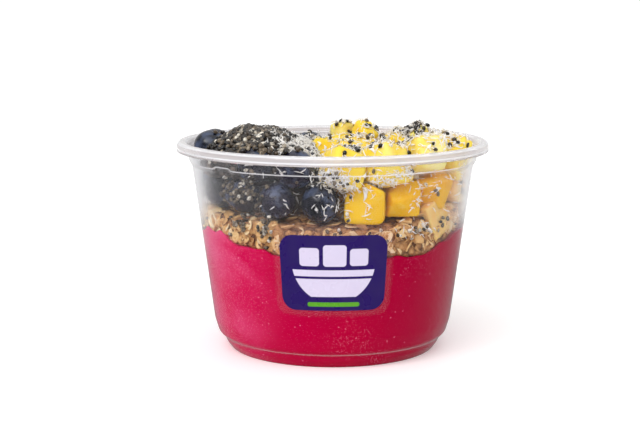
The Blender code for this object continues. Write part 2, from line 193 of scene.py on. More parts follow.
class Nodes:
    """A node tree and short ways to add nodes to it. place is where its patterns are read."""

    def __init__(self, owner, coordinates):
        owner.use_nodes = True
        self.tree = owner.node_tree
        self.tree.nodes.clear()
        self.place = self.node("TexCoord").outputs[coordinates]

    def node(self, kind, inputs=None, **settings):
        """A node of this kind with its settings, and its inputs given as numbers or as sockets."""
        made = self.tree.nodes.new("ShaderNode" + kind)
        for key, value in settings.items():
            setattr(made, key, value)
        for key, value in (inputs or {}).items():
            if isinstance(value, bpy.types.NodeSocket):
                self.tree.links.new(value, made.inputs[key])
            else:
                made.inputs[key].default_value = value
        return made

    def sum(self, operation, *values):
        """One Math node."""
        return self.node("Math", dict(enumerate(values)), operation=operation).outputs[0]

    def noise(self, scale, detail=2.0, place=None):
        """Soft noise from 0 to 1, mostly between 0.3 and 0.7."""
        inputs = {"Vector": place or self.place, "Scale": scale, "Detail": detail}
        return self.node("TexNoise", inputs).outputs["Fac"]

    def cells(self, scale, output="Distance", place=None):
        """The distance to the nearest of many scattered points, or a colour for each."""
        return self.node("TexVoronoi", {"Vector": place or self.place, "Scale": scale}).outputs[output]

    def stretched(self, scale):
        """The place with each axis scaled by itself."""
        return self.node("Mapping", {"Vector": self.place, "Scale": scale}).outputs[0]

    def attribute(self, name):
        """A number that the mesh keeps for each point."""
        return self.node("Attribute", attribute_name=name).outputs["Fac"]

    def spread(self, value, low, high, to_low=0.0, to_high=1.0):
        """The value between low and high, spread smoothly between to_low and to_high."""
        inputs = {0: value, 1: low, 2: high, 3: to_low, 4: to_high}
        return self.node("MapRange", inputs, interpolation_type="SMOOTHSTEP").outputs[0]

    def blend(self, share, first, second):
        """The first colour where share is 0 and the second where it is 1."""
        return self.node("Mix", {0: share, 6: first, 7: second}, data_type="RGBA").outputs[2]

    def ramp(self, value, stops):
        """A colour read from stops, each a position and a colour."""
        made = self.node("ValToRGB", {0: value})
        elements = made.color_ramp.elements
        while len(elements) < len(stops):
            elements.new(0.5)
        for element, (position, colour) in zip(elements, stops):
            element.position = position
            element.color = colour
        return made.outputs[0]

    def bump(self, height, distance, normal=None):
        """A normal that tilts as if the surface were raised by height times distance."""
        inputs = {"Height": height, "Distance": distance, "Strength": 1.0}
        if normal:
            inputs["Normal"] = normal
        return self.node("Bump", inputs).outputs[0]

    def surface(self, **inputs):
        """A Principled shader. An underscore in a name stands for a space."""
        named = {key.replace("_", " "): value for key, value in inputs.items()}
        return self.node("BsdfPrincipled", named).outputs[0]

    def mixed(self, share, first, second):
        """The first shader where share is 0 and the second where it is 1."""
        return self.node("MixShader", {0: share, 1: first, 2: second}).outputs[0]

    def all_of(self, *shares):
        """The product of several numbers."""
        total = shares[0]
        for share in shares[1:]:
            total = self.sum("MULTIPLY", total, share)
        return total

    def is_mirrored(self):
        """1 for a ray that came off a gloss on its way, also if it was bent through plastic since."""
        path = self.node("LightPath").outputs
        off_gloss = self.sum("GREATER_THAN", path["Glossy Depth"], 0.5)
        return self.all_of(off_gloss, self.sum("LESS_THAN", path["Diffuse Depth"], 0.5))


class Finish(Nodes):
    """A material with its node tree."""

    def __init__(self, name):
        self.material = bpy.data.materials.new(name)
        super().__init__(self.material, "Object")

    def done(self, shader):
        """Joins the shader to the output and returns the material."""
        self.node("OutputMaterial", {"Surface": shader})
        return self.material


# %% [markdown]
# ## The tub's own lines
# The tub is blown from one thin sheet. Everything in it leans on its wall, so the wall's line comes first:
# radius and height on the side that touches the food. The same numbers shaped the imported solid.

# %% The wall's line and the levels of the food
WALL = 0.7 * MM
FOOD_SIDE = np.array([
    (0, 1.9), (34.2, 1.9), (35.3, 0.7), (38.2, 0.7), (40.0, 3.2), (40.6, 5.0), (42.8, 6.9),
    (44.2, 11.5), (51.5, 65.2),
    (52.2, 70.0), (53.3, 71.5), (54.2, 76.9), (55.6, 78.5), (57.7, 78.4), (58.5, 77.2), (58.5, 75.0),
]) * MM
WALL_START, WALL_END = FOOD_SIDE[7], FOOD_SIDE[8]
LEAN = math.atan2(*(WALL_END - WALL_START))


def wall_radius(z):
    """Radius of the plain wall's food side at height z: a straight line that leans outwards."""
    return WALL_START[0] + (z - WALL_START[1]) * math.tan(LEAN)


def frontness(y):
    """0 at the middle of the bowl, rising as a cube to 1 at the front of the wall. It takes -y or x too."""
    return np.clip(-y / (50 * MM), 0, 1) ** 3


def hollow(x, y):
    """A bell at the right of the front, where the granola has sunk deeper into the acai, in mm."""
    return 4.2 * np.exp(-((x / MM - 34) / 11) ** 2 - ((y / MM + 34) / 16) ** 2)


def acai_top(x, y):
    """Height of the acai: a level that dips at the front, the back and the far left, with low swells."""
    swell = np.sin(x * 110 + 0.6) * np.cos(y * 95) + 0.4 * np.sin(x * 190 - y * 150 + 1.0)
    dips = 8 * frontness(y) + 4 * frontness(-y) + 2.4 * frontness(x) + hollow(x, y)
    return (47.5 - dips + 0.3 * swell) * MM


def granola_top(x, y):
    """Height of the granola: the acai's height, a depth that grows to the front, and a mound in the middle."""
    rise = np.clip((38.5 * MM - np.hypot(x, y)) / (14.5 * MM), 0, 1)
    depth = 8.3 + 3 * frontness(y) + hollow(x, y) + 8.5 * rise * rise * (3 - 2 * rise)
    return acai_top(x, y) + depth * MM


print("the wall leans out by", round(math.degrees(LEAN), 1), "degrees")

# %% Helpers for turned outlines


def shifted(profile, distance):
    """The profile moved to the right of its own direction, with mitred corners."""
    steps = unit(np.diff(profile, axis=0))
    sides = np.stack([steps[:, 1], -steps[:, 0]], axis=1)
    first = np.concatenate([sides[:1], sides])
    second = np.concatenate([sides, sides[-1:]])
    miter = unit(first + second)
    return profile + miter * (distance / np.sum(miter * first, axis=1))[:, None]


def rounded(profile, reach, steps=5):
    """The profile with each corner replaced by a parabola that starts and ends at most reach from it."""
    before, corner, after = profile[:-2], profile[1:-1], profile[2:]
    share = []
    for side in (before - corner, after - corner):
        length = np.linalg.norm(side, axis=1, keepdims=True)
        share.append(corner + side / length * np.minimum(reach, 0.45 * length))
    start, end = share
    t = np.linspace(0, 1, steps)[None, :, None]
    curve = (1 - t) ** 2 * start[:, None] + 2 * t * (1 - t) * corner[:, None] + t * t * end[:, None]
    return np.concatenate([profile[:1], curve.reshape(-1, 2), profile[-1:]])


def turned(profile, columns):
    """The grid of a profile of (radius, height) turned round the middle, without its two ends on the axis."""
    angle = np.linspace(0, 2 * math.pi, columns, endpoint=False)[None, :]
    radius, height = profile[1:-1, :1], profile[1:-1, 1:]
    return np.stack([radius * np.cos(angle), radius * np.sin(angle), height + 0 * angle], axis=2)


# %% [markdown]
# ## The clear tub
# Thin polypropylene is clear where something touches it and foggy where the food stands off, because its
# skin is slightly rough: the further behind it a thing is, the more it blurs. A rough refracting shader gives
# that by itself, so the fog is not painted. Refracting plastic would keep lamps from the food, so rays that
# look for a lamp pass straight through it instead.

# %% The tub's shape
TUB_COLUMNS = 288
LEDGE_HEIGHT = 71.3 * MM
LUG_AT, LUG_HALF_WIDTH, LUG_LIFT = math.radians(-47.5), math.radians(4.8), 0.9 * MM
inside = rounded(FOOD_SIDE, 0.6 * MM)
outside = rounded(shifted(FOOD_SIDE, WALL), 0.9 * MM)


def notched(grid):
    """Lifts the stacking ledge at three lugs round the tub, which let nested tubs come apart.

    A lug is a smooth step up and down about its middle, times a bell over the height about the ledge.
    """
    around = np.arctan2(grid[..., 0], -grid[..., 1])
    within = np.cos(3 * (around - LUG_AT)) - math.cos(3 * LUG_HALF_WIDTH)
    bell = np.exp(-((grid[..., 2] - LEDGE_HEIGHT) / (2.2 * MM)) ** 2)
    lift = LUG_LIFT * bell / (1 + np.exp(-within / 0.002))
    return grid + np.stack([0 * lift, 0 * lift, lift], axis=2)


tub_profile = np.concatenate([outside, inside[::-1]])
tub_grid = notched(turned(tub_profile, TUB_COLUMNS))
tub_points = np.concatenate([tub_grid.reshape(-1, 3), [(0, 0, outside[0, 1]), (0, 0, inside[0, 1])]])
tub_level = np.append(np.repeat(tub_profile[1:-1, 1], TUB_COLUMNS), [outside[0, 1], inside[0, 1]]) / MM
print("the tub's sheet is", WALL / MM, "mm thick, with its ledge at", LEDGE_HEIGHT / MM, "mm")

# %% [markdown]
# Three things make the plastic look whiter than clear: it is milky where the sheet is thick or bent, at the
# rim and the ledge, it is seen edge-on at the sides, where a ray stays in it longer, and it is dry where no
# food wets it. So the milk grows with the angle of view, and nearly stops below the acai's level. The thin
# white lines where the sheet is bent are partly that milk and partly painted highlight, which stands in for
# the gleam of light from above on the ledge and on the rim's edges.

# %% The tub's finish


def clear_plastic():
    """Slightly milky, slightly rough plastic that lets light reach what is behind it."""
    finish = Finish("clear_plastic")
    cloud = finish.noise(38, 3)
    skin = finish.noise(260, 3, finish.stretched((1, 1, 0.35)))
    level = finish.attribute("level")
    edge_on = finish.spread(finish.node("LayerWeight", {"Blend": 0.5}).outputs["Facing"], 0.42, 1.0, 0.0, 0.75)
    dryness = finish.spread(level, 46.0, 56.0, 0.1, 1.0)
    haze = finish.sum("ADD", finish.spread(cloud, 0.3, 0.7, 0.01, 0.03), edge_on)
    rim = finish.spread(level, 74.2, 75.4, 0.0, 0.3)
    # Milky lines where the sheet is bent at the foot, the ledge and the rim; at the ledge and the rim's edges they
    # are partly painted highlight.
    bend_milk_and_highlights = []
    for bend, half, milky in ((LEDGE_HEIGHT / MM, 0.3, 0.4), (5.4, 0.4, 0.2), (78.0, 0.5, 0.5), (76.0, 0.4, 0.5)):
        off_bend = finish.sum("ABSOLUTE", finish.sum("SUBTRACT", level, bend))
        bend_milk_and_highlights.append(finish.spread(off_bend, half, half * 0.4, 0.0, milky))
    line = bend_milk_and_highlights[0]
    for bend in bend_milk_and_highlights[1:]:
        line = finish.sum("MAXIMUM", line, bend)
    milk = finish.sum("MAXIMUM", finish.sum("MAXIMUM", finish.all_of(dryness, haze), rim), line)
    greyer = finish.sum("SUBTRACT", finish.spread(level, 73.8, 74.4), finish.spread(line, 0.05, 0.25))
    white = finish.blend(cloud, srgb(240, 239, 242), srgb(251, 251, 253))
    shader = finish.surface(
        Base_Color=finish.blend(greyer, white, srgb(228, 223, 223)),
        Roughness=finish.spread(cloud, 0.3, 0.7, 0.07, 0.12),
        IOR=1.4,
        Transmission_Weight=finish.sum("SUBTRACT", 1.0, milk),
        Normal=finish.bump(skin, 0.03 * MM),
    )
    straight = finish.node("BsdfTransparent", {"Color": srgb(252, 252, 253)}).outputs[0]
    path = finish.node("LightPath").outputs
    lights_food = finish.sum("MAXIMUM", path["Is Shadow Ray"], path["Is Diffuse Ray"])
    return finish.done(finish.mixed(lights_food, shader, straight))


tub_faces = ball_faces(tub_grid.shape[0], TUB_COLUMNS)
tub = mesh_object("clear_tub", tub_points, tub_faces, clear_plastic(), {"level": tub_level})
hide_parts("tub")

# %% [markdown]
# ## The frozen acai
# Smooth frozen puree is pressed into the tub and fills its foot. Behind glass or plastic an air gap would
# show as a mirror, so the acai reaches a tenth of a millimetre into the wall. Its side is a grid over the
# angle and the height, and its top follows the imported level.

# %% The acai's shape
ACAI_COLUMNS = 240
BITE = 0.12 * MM
angle = np.linspace(0, 2 * math.pi, ACAI_COLUMNS, endpoint=False)


SMEARS = ((-55, 3.6, 4.2), (-66, 6.0, 3.4), (-30, 2.5, 1.2), (52, 3.0, 1.8), (128, 4.0, 3.5), (-140, 3.5, 3.0))


def acai_edge(angle):
    """Height of the acai along the wall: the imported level, small dents from flakes, and smears up the wall.

    A smear is a bell over the angle from the front, given by its middle, half width and height.
    """
    x, y = wall_radius(44 * MM) * np.cos(angle), wall_radius(44 * MM) * np.sin(angle)
    dents = np.sin(23 * angle + 2 * np.sin(5 * angle)) + 0.7 * np.sin(41 * angle + 1.3)
    from_front = np.degrees(np.arctan2(x, -y))
    smears = sum(high * np.exp(-((from_front - middle) / half) ** 2) for middle, half, high in SMEARS)
    return acai_top(x, y) + (0.28 * dents + smears) * MM


def acai_grid():
    """Rows from the floor outwards through the foot, up the wall, and back over the top to the middle."""
    foot = turned(np.concatenate([rounded(shifted(FOOD_SIDE[:8], BITE), 0.6 * MM), [(0, 0)]]), ACAI_COLUMNS)
    climb = np.linspace(0.02, 1, 40)[:, None]
    height = WALL_START[1] + climb * (acai_edge(angle) - WALL_START[1])
    radius = wall_radius(height) + BITE
    side = np.stack([radius * np.cos(angle), radius * np.sin(angle), height], axis=2)
    share = np.linspace(0.985, 0.04, 24)[:, None]
    x, y = share * side[-1, :, 0], share * side[-1, :, 1]
    lie = share ** 6
    top = np.stack([x, y, lie * side[-1, :, 2] + (1 - lie) * acai_top(x, y)], axis=2)
    return np.concatenate([foot, side, top])


acai_rows = acai_grid()
middle_of_acai = [(0, 0, FOOD_SIDE[0, 1]), (0, 0, float(acai_top(0, 0)))]
acai_points = np.concatenate([acai_rows.reshape(-1, 3), middle_of_acai])

# %% [markdown]
# Its colour is a strong magenta, frostier on the left. Painted light and shade lie over it: it is lighter on
# the left, towards the lamps, and deeper on the right. Fine specks are ice and air: small cells of a Voronoi
# pattern, kept only near their middles and only in some patches. A frosty swirl from the filling runs down
# to the right. The plastic wets the puree, so it has little gloss.

# %% The acai's finish
SWIRL_HIGH, SWIRL_FALL = 13 * MM, -0.67  # its height over the middle of the bowl, and its slope


def frozen_acai():
    """Magenta puree with a frosty swirl and streaks, pale specks and tiny bubbles."""
    finish = Finish("frozen_acai")
    x, _, z = finish.node("SeparateXYZ", {0: finish.place}).outputs
    # Painted light and shade: the base colour is lighter at the left, towards the lamps, and deeper at the right.
    painted_shade_to_right = finish.spread(x, -0.052, 0.05)
    streaks = finish.noise(34, 5, finish.stretched((1, 1, 1.6)))
    leftness = finish.spread(x, -14 * MM, -47 * MM)
    over_swirl = finish.sum("SUBTRACT", z, finish.sum("MULTIPLY_ADD", x, SWIRL_FALL, SWIRL_HIGH))
    wander = finish.sum("MULTIPLY_ADD", finish.noise(60, 3), 9 * MM, finish.sum("SUBTRACT", over_swirl, 4.5 * MM))
    swirl = finish.all_of(finish.spread(finish.sum("ABSOLUTE", wander), 4.5 * MM, 0.5 * MM), leftness)
    frost = finish.all_of(finish.spread(streaks, 0.36, 0.66), leftness, 0.4)
    grain = finish.noise(1400, 2)
    # The ramp runs from the painted light at the left to the painted shade at the right.
    base = finish.ramp(
        finish.sum("ADD", finish.sum("MULTIPLY", painted_shade_to_right, 0.85), finish.sum("MULTIPLY", grain, 0.15)),
        [(0.0, srgb(228, 12, 96)), (0.26, srgb(192, 0, 64)), (0.6, srgb(180, 0, 54)), (1.0, srgb(150, 0, 46))],
    )
    specks = finish.spread(finish.cells(1250), 0.4, 0.12)
    patches = finish.spread(finish.noise(70, 4), 0.46, 0.7, 0.06, 0.5)
    patches = finish.sum("MAXIMUM", patches, finish.sum("MAXIMUM", swirl, finish.all_of(leftness, 0.7)))
    bubbles = finish.all_of(finish.spread(finish.cells(330), 0.11, 0.06), 0.4)
    haze = finish.sum("MAXIMUM", frost, finish.all_of(swirl, 0.24))
    colour = finish.blend(haze, base, srgb(244, 118, 168))
    light = finish.sum("MAXIMUM", finish.all_of(specks, patches, 0.5), bubbles)
    colour = finish.blend(light, colour, srgb(252, 150, 190))
    shader = finish.surface(
        Base_Color=colour,
        Roughness=finish.spread(streaks, 0.3, 0.7, 0.35, 0.6),
        Normal=finish.bump(grain, 0.05 * MM),
        Specular_IOR_Level=0.0,
        Subsurface_Weight=0.15,
        Subsurface_Radius=(1.0, 0.2, 0.3),
        Subsurface_Scale=0.8 * MM,
    )
    return finish.done(shader)


acai = mesh_object("acai_fill", acai_points, ball_faces(acai_rows.shape[0], ACAI_COLUMNS), frozen_acai())
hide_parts("acai")

# %% [markdown]
# ## Granola
# The layer is a core, which stays behind, and rolled oats over it. An oat is a ball pressed flat, bent like a
# shallow dish and creased along its middle. Hundreds of them stand against the wall, face out, and lie on
# the mound under the fruit.

# %% One rolled oat


def small_ball(rows, columns):
    """Points of a ball of radius one, with its poles along z, and its faces."""
    lift = np.linspace(-math.pi / 2, math.pi / 2, rows + 2)[1:-1, None]
    turn = np.linspace(0, 2 * math.pi, columns, endpoint=False)[None, :]
    grid = np.stack([np.cos(lift) * np.cos(turn), np.cos(lift) * np.sin(turn), np.sin(lift) + 0 * turn], axis=2)
    return np.concatenate([grid.reshape(-1, 3), [(0, 0, -1), (0, 0, 1)]]), ball_faces(rows, columns)


def oat_shape(fold, tear):
    """A ball pressed flat along z, with a torn edge, a crease, and the two halves folded up about it.

    The edge is the circle times one plus two waves round it. The fold lifts by the distance from the crease
    and by the square of the length along it.
    """
    ball, faces = small_ball(4, 10)
    x, y, z = ball.T
    turn = np.arctan2(y, x)
    edge = 1 + (0.13 * np.sin(3 * turn + tear) + 0.1 * np.sin(5 * turn + 2 * tear)) * np.hypot(x, y)
    crease = 0.5 * np.exp(-(y / 0.3) ** 2) * (1 - x * x)
    lift = fold * np.abs(y) + 0.6 * x * x * (0.5 + 0.5 * math.cos(tear)) + 0.35 * np.sin(4 * x + tear) * y
    return np.stack([x * edge, y * edge, z * (1 - 0.2 * np.hypot(x, y)) - crease + lift], axis=1), faces


# %% Oats at the wall and on the mound
rng = np.random.default_rng(7)
OAT_SIZE = np.array([3.0, 2.3, 0.5]) * MM
OAT_KINDS = ((0.4, 0.0), (1.2, 1.5), (2.2, 3.2), (0.8, 4.6))


def oats_at_wall(count):
    """Places and turns of oats that stand against the wall, between the acai and the top of the granola."""
    around = rng.uniform(0, 2 * math.pi, count)
    out = np.stack([np.cos(around), np.sin(around), 0 * around], axis=1)
    edge = wall_radius(50 * MM)
    low = acai_top(edge * out[:, 0], edge * out[:, 1]) + 1.6 * MM
    high = granola_top(edge * out[:, 0], edge * out[:, 1]) - 1.0 * MM
    z = low + (high - low) * rng.uniform(0, 1, count)
    normals = unit(out + rng.normal(0, 0.6, (count, 3)))
    turns = turns_on(normals, rng.uniform(0, math.pi, count)) * rng.uniform(0.45, 1.1, (count, 1, 1))
    turns = turns * OAT_SIZE
    reach = np.abs(np.einsum("nij,ni->nj", turns, out)).max(axis=1)
    away = wall_radius(z - 2 * MM) - 0.1 * MM - reach * 1.3 - rng.uniform(0, 1.5, count) * MM
    return out * away[:, None] + np.stack([0 * z, 0 * z, z], axis=1), turns


def oats_on_mound(count):
    """Places and turns of oats that lie on the granola, tilted at random."""
    radius = 47 * MM * np.sqrt(rng.uniform(0, 1, count))
    around = rng.uniform(0, 2 * math.pi, count)
    x, y = radius * np.cos(around), radius * np.sin(around)
    places = np.stack([x, y, granola_top(x, y) + rng.uniform(-0.6, 0.5, count) * MM], axis=1)
    normals = unit(np.array([0, 0, 1.0]) + rng.normal(0, 0.35, (count, 3)))
    turns = turns_on(normals, rng.uniform(0, math.pi, count)) * rng.uniform(0.7, 1.05, (count, 1, 1))
    return places, turns * OAT_SIZE


places, turns = (np.concatenate(pair) for pair in zip(oats_at_wall(1000), oats_on_mound(300)))
oat_batches = []
for number, (fold, tear) in enumerate(OAT_KINDS):
    some = slice(number, None, len(OAT_KINDS))
    oat_batches.append(repeated(*oat_shape(fold, tear), turns[some], places[some]))
oat_points, oat_all_faces = joined(oat_batches)
oat_tones = np.repeat(rng.uniform(0, 1, len(places)), len(oat_points) // len(places))

# %% The granola's finish


def shade_and_gold_under_fruit(finish, colour):
    """The colour, painted nearly black as shade under the berries at the left, and gold under the mango."""
    x, _, z = finish.node("SeparateXYZ", {0: finish.place}).outputs
    under_fruit = finish.spread(z, 54 * MM, 57.5 * MM)
    left = finish.spread(x, 3 * MM, -3 * MM)
    # Painted shade: just under the fruit the colour turns nearly black on the left, and gold on the right.
    dark_left_gold_right = finish.blend(left, srgb(236, 186, 110), srgb(40, 34, 44))
    return finish.blend(finish.all_of(under_fruit, finish.spread(left, 0, 1, 0.6, 0.85)), colour, dark_left_gold_right)


def toasted_oats():
    """Rolled oats from cream to toasted brown, with bran flecks and honey on some."""
    finish = Finish("toasted_oats")
    tone = finish.attribute("tone")
    fleck = finish.noise(1300, 3)
    toast = finish.sum("ADD", finish.sum("MULTIPLY", tone, 0.7), finish.sum("MULTIPLY", fleck, 0.5))
    colour = finish.ramp(toast, [
        (0.15, srgb(253, 236, 198)), (0.45, srgb(247, 210, 148)), (0.7, srgb(226, 174, 108)),
        (0.95, srgb(158, 108, 68)),
    ])
    shader = finish.surface(
        Base_Color=shade_and_gold_under_fruit(finish, colour),
        Roughness=finish.spread(fleck, 0.3, 0.7, 0.4, 0.75),
        Normal=finish.bump(fleck, 0.15 * MM),
    )
    return finish.done(shader)


def granola_bed():
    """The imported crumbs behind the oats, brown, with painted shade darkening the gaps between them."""
    finish = Finish("granola_bed")
    crumbs = finish.cells(420)
    grain = finish.noise(900, 3)
    # Painted shade: far from each cell's middle, in the gaps between crumbs, the ramp turns dark brown.
    value = finish.sum("ADD", finish.sum("MULTIPLY", crumbs, 0.9), finish.sum("MULTIPLY", grain, 0.4))
    colour = finish.ramp(value, [
        (0.1, srgb(226, 180, 122)), (0.5, srgb(190, 140, 88)), (0.9, srgb(104, 70, 48)),
    ])
    colour = shade_and_gold_under_fruit(finish, colour)
    shader = finish.surface(Base_Color=colour, Roughness=0.8, Normal=finish.bump(crumbs, -0.5 * MM))
    return finish.done(shader)


oats = mesh_object("granola_oats", oat_points, oat_all_faces, toasted_oats(), {"tone": oat_tones})

# %% The core of the granola
BED_COLUMNS = 160


def granola_core():
    """A closed bed of crumbs: rows out under it, up its side 1.6 mm behind the wall, and back over its top."""
    bed_angle = np.linspace(0, 2 * math.pi, BED_COLUMNS, endpoint=False)[None, :]
    share = np.concatenate([np.linspace(0.05, 1, 8), np.ones(6), np.linspace(0.98, 0.03, 26)])[:, None]
    level = np.concatenate([np.zeros(8), np.linspace(0.1, 0.9, 6), np.ones(26)])[:, None]
    radius = (wall_radius(48 * MM) - 1.9 * MM) * share
    x, y = radius * np.cos(bed_angle), radius * np.sin(bed_angle)
    lumps = np.sin(x * 900 + y * 300) * np.sin(y * 1100 - x * 420) * 0.35 * MM
    low, high = acai_top(x, y) - 0.3 * MM, granola_top(x, y) - 0.4 * MM + lumps
    grid = np.stack([x, y, low + (high - low) * level], axis=2)
    poles = [(0, 0, float(acai_top(0, 0))), (0, 0, float(granola_top(0, 0)))]
    return np.concatenate([grid.reshape(-1, 3), poles]), ball_faces(len(share), BED_COLUMNS)


bed = mesh_object("granola_core", *granola_core(), granola_bed())
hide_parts("granola")

# %% [markdown]
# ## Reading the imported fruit
# Where each berry and each chunk lies was settled in the solids, so it is read from them. A berry's middle is
# its solid's centroid and its size follows from its volume. Its crown is the one dent in it: rays from the
# middle in every direction are shortest there.

# %% Middle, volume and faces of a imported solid


def triangles_of(mesh):
    """The mesh's points, and the numbers of each triangle's corners."""
    mesh.calc_loop_triangles()
    points = np.zeros(len(mesh.vertices) * 3)
    mesh.vertices.foreach_get("co", points)
    corners = np.zeros(len(mesh.loop_triangles) * 3, dtype=np.int32)
    mesh.loop_triangles.foreach_get("vertices", corners)
    return points.reshape(-1, 3), corners.reshape(-1, 3)


class Solid:
    """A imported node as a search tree, with its centroid and volume as sums over tetrahedra to the origin."""

    def __init__(self, name):
        self.points, self.corners = triangles_of(nodes[name].data)
        a, b, c = (self.points[self.corners[:, side]] for side in range(3))
        pieces = np.einsum("ni,ni->n", a, np.cross(b, c)) / 6
        self.volume = pieces.sum()
        self.middle = ((a + b + c) / 4 * pieces[:, None]).sum(axis=0) / self.volume
        normals = np.cross(b - a, c - a)
        self.areas = np.linalg.norm(normals, axis=1) / 2
        self.normals = normals / (2 * self.areas[:, None] + 1e-12)
        self.offsets = np.einsum("ni,ni->n", self.normals, a)

    def tree(self):
        """A search tree of its triangles."""
        return BVHTree.FromPolygons(self.points.tolist(), self.corners.tolist())


def distances(tree, middle, ways):
    """How far the surface is from the middle in each direction."""
    origin = Vector(middle)
    hits = (tree.ray_cast(origin, Vector(way)) for way in ways)
    return np.array([hit[3] if hit[0] else np.inf for hit in hits])


# %% [markdown]
# ## Blueberries
# A blueberry is a ball pressed a little flat. On top is the crown that its flower leaves: a shallow dish
# inside a ring with five points. Its skin is nearly black with a pale wax bloom, which is rubbed off in
# places. The body is a function of the lift from pole to pole and of the turn round the crown.

# %% A berry's shape
BERRY_ROWS, BERRY_COLUMNS = 34, 50
SOLID_SHARE = 3.24  # volume of a packed berry over the cube of its radius
BERRY_FLATNESS = 0.9


def berry_shape(draw):
    """A ball one unit in radius and 0.9 high, with a dish inside a five-pointed ring at the top.

    The radius from the middle is the flattened ball's, less a low wave for uneven growth. Within 0.4 of the
    axis it dips into a dish, and at 0.36 a ring rises, higher at five points round it.
    """
    lift = np.linspace(-1, 1, BERRY_ROWS + 2)[1:-1]
    lift = (math.pi / 2) * (0.55 * lift + 0.45 * lift ** 3)[:, None]
    lift = np.sign(lift) * np.abs(lift) ** 1.0
    turn = np.linspace(0, 2 * math.pi, BERRY_COLUMNS, endpoint=False)[None, :]
    wave = 0.012 * (1 + np.sin(3 * turn + draw[0]) * np.cos(lift)) + 0.012 * (1 + np.sin(2 * turn + draw[1]))
    across, up = np.cos(lift) * (1 - wave), BERRY_FLATNESS * np.sin(lift) * (1 - 0.5 * wave)
    top = np.sin(lift) > 0
    points_round = np.abs(np.cos(2.5 * turn + draw[2])) ** 0.6
    ring = np.exp(-(((across - 0.36) / 0.055) ** 2)) * (0.02 + 0.085 * points_round)
    dish = 0.17 * (1 - 1 / (1 + np.exp(-(across - 0.27) / 0.03)))
    up = up + top * (ring - dish)
    across = across + top * 0.35 * ring
    grid = np.stack([across * np.cos(turn), across * np.sin(turn), up], axis=2)
    crown = top * np.clip(1.25 - across / 0.42, 0, 1) + 0 * turn
    poles = [(0, 0, -BERRY_FLATNESS), (0, 0, float(up[-1].mean()))]
    return np.concatenate([grid.reshape(-1, 3), poles]), np.append(crown.ravel(), [0, 1])


# %% Every berry in its place
CROWN_RAYS = directions(1500)
berry_names = sorted(name for name in nodes if name.startswith("blueberry"))
berry_batches, berry_crowns, berry_tones = [], [], []
berry_faces = ball_faces(BERRY_ROWS, BERRY_COLUMNS)
for name in berry_names:
    solid = Solid(name)
    radius = (solid.volume / SOLID_SHARE) ** (1 / 3)
    reach = distances(solid.tree(), solid.middle, CROWN_RAYS)
    dent = CROWN_RAYS[reach <= np.sort(reach)[11]]
    crown_way = unit(dent.mean(axis=0)) if len(dent) else np.array([0, 0, 1.0])
    shape, crown = berry_shape(rng.uniform(0, 6, 3))
    turn = turns_on(crown_way[None], rng.uniform(0, 6, 1))[0]
    berry_batches.append((solid.middle + radius * shape @ turn.T, berry_faces))
    berry_crowns.append(crown)
    berry_tones.append(np.full(len(shape), rng.uniform(0, 1)))
    print(name, "radius", round(radius / MM, 2), "mm, dent at", round(float(reach.min() / radius), 2))

# %% [markdown]
# The bloom is what makes a berry read as a blueberry: patches of grey-blue wax over near-black skin, fading
# where berries rubbed. The tone attribute makes some berries more purple, and the crown attribute browns the
# dish and pales the ring's edge.

# %% The berries' finish


def blueberry_skin():
    """Near-black skin with a grey-blue wax bloom, purple in some berries, browner in the crown."""
    finish = Finish("blueberry_skin")
    tone, crown = finish.attribute("tone"), finish.attribute("crown")
    skin = finish.blend(tone, srgb(12, 15, 28), srgb(28, 20, 42))
    bloom = finish.spread(finish.noise(150, 4), 0.4, 0.66)
    rubbed = finish.spread(finish.noise(420, 3), 0.62, 0.45)
    share = finish.all_of(bloom, rubbed, 0.6)
    waxy = finish.blend(share, skin, srgb(88, 104, 138))
    colour = finish.blend(finish.all_of(crown, 0.75), waxy, srgb(46, 36, 48))
    shader = finish.surface(
        Base_Color=colour,
        Roughness=finish.spread(share, 0.0, 0.5, 0.24, 0.5),
        Normal=finish.bump(finish.noise(1500, 3), 0.04 * MM),
        Specular_IOR_Level=0.5,
    )
    return finish.done(shader)


berry_points, berry_all_faces = joined(berry_batches)
berry_values = {"crown": np.concatenate(berry_crowns), "tone": np.concatenate(berry_tones)}
berries = mesh_object("blueberries", berry_points, berry_all_faces, blueberry_skin(), berry_values)
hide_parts(*berry_names)

# %% [markdown]
# ## Diced mango
# A cut chunk has flat faces and soft edges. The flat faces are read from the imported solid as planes. Between
# them the surface is found by a formula that needs no cutting: in a direction d the radius is a soft minimum
# of how far each plane is along d. The power sets how sharp the edges are.

# %% A chunk's planes and its soft surface
LEAST_FACE = 4e-6  # square metres, which leaves out the faces of seeds and shreds
EDGE_POWER = 24
CHUNK_STEPS = 20


def flat_faces(solid):
    """Ways and distances from the middle of the planes in which the solid has a large area."""
    keys = np.round(np.concatenate([solid.normals * 12, solid.offsets[:, None] / (0.4 * MM)], axis=1))
    order = np.unique(keys, axis=0, return_inverse=True)[1].ravel()
    area = np.bincount(order, solid.areas)
    ways, rooms = [], []
    for group in np.nonzero(area > LEAST_FACE)[0]:
        weights = solid.areas * (order == group)
        way = unit((solid.normals * weights[:, None]).sum(axis=0))
        room = float((solid.offsets * weights).sum() / weights.sum() - way @ solid.middle)
        if room > 0.5 * MM:
            ways.append(way)
            rooms.append(room)
    return np.array(ways), np.array(rooms)


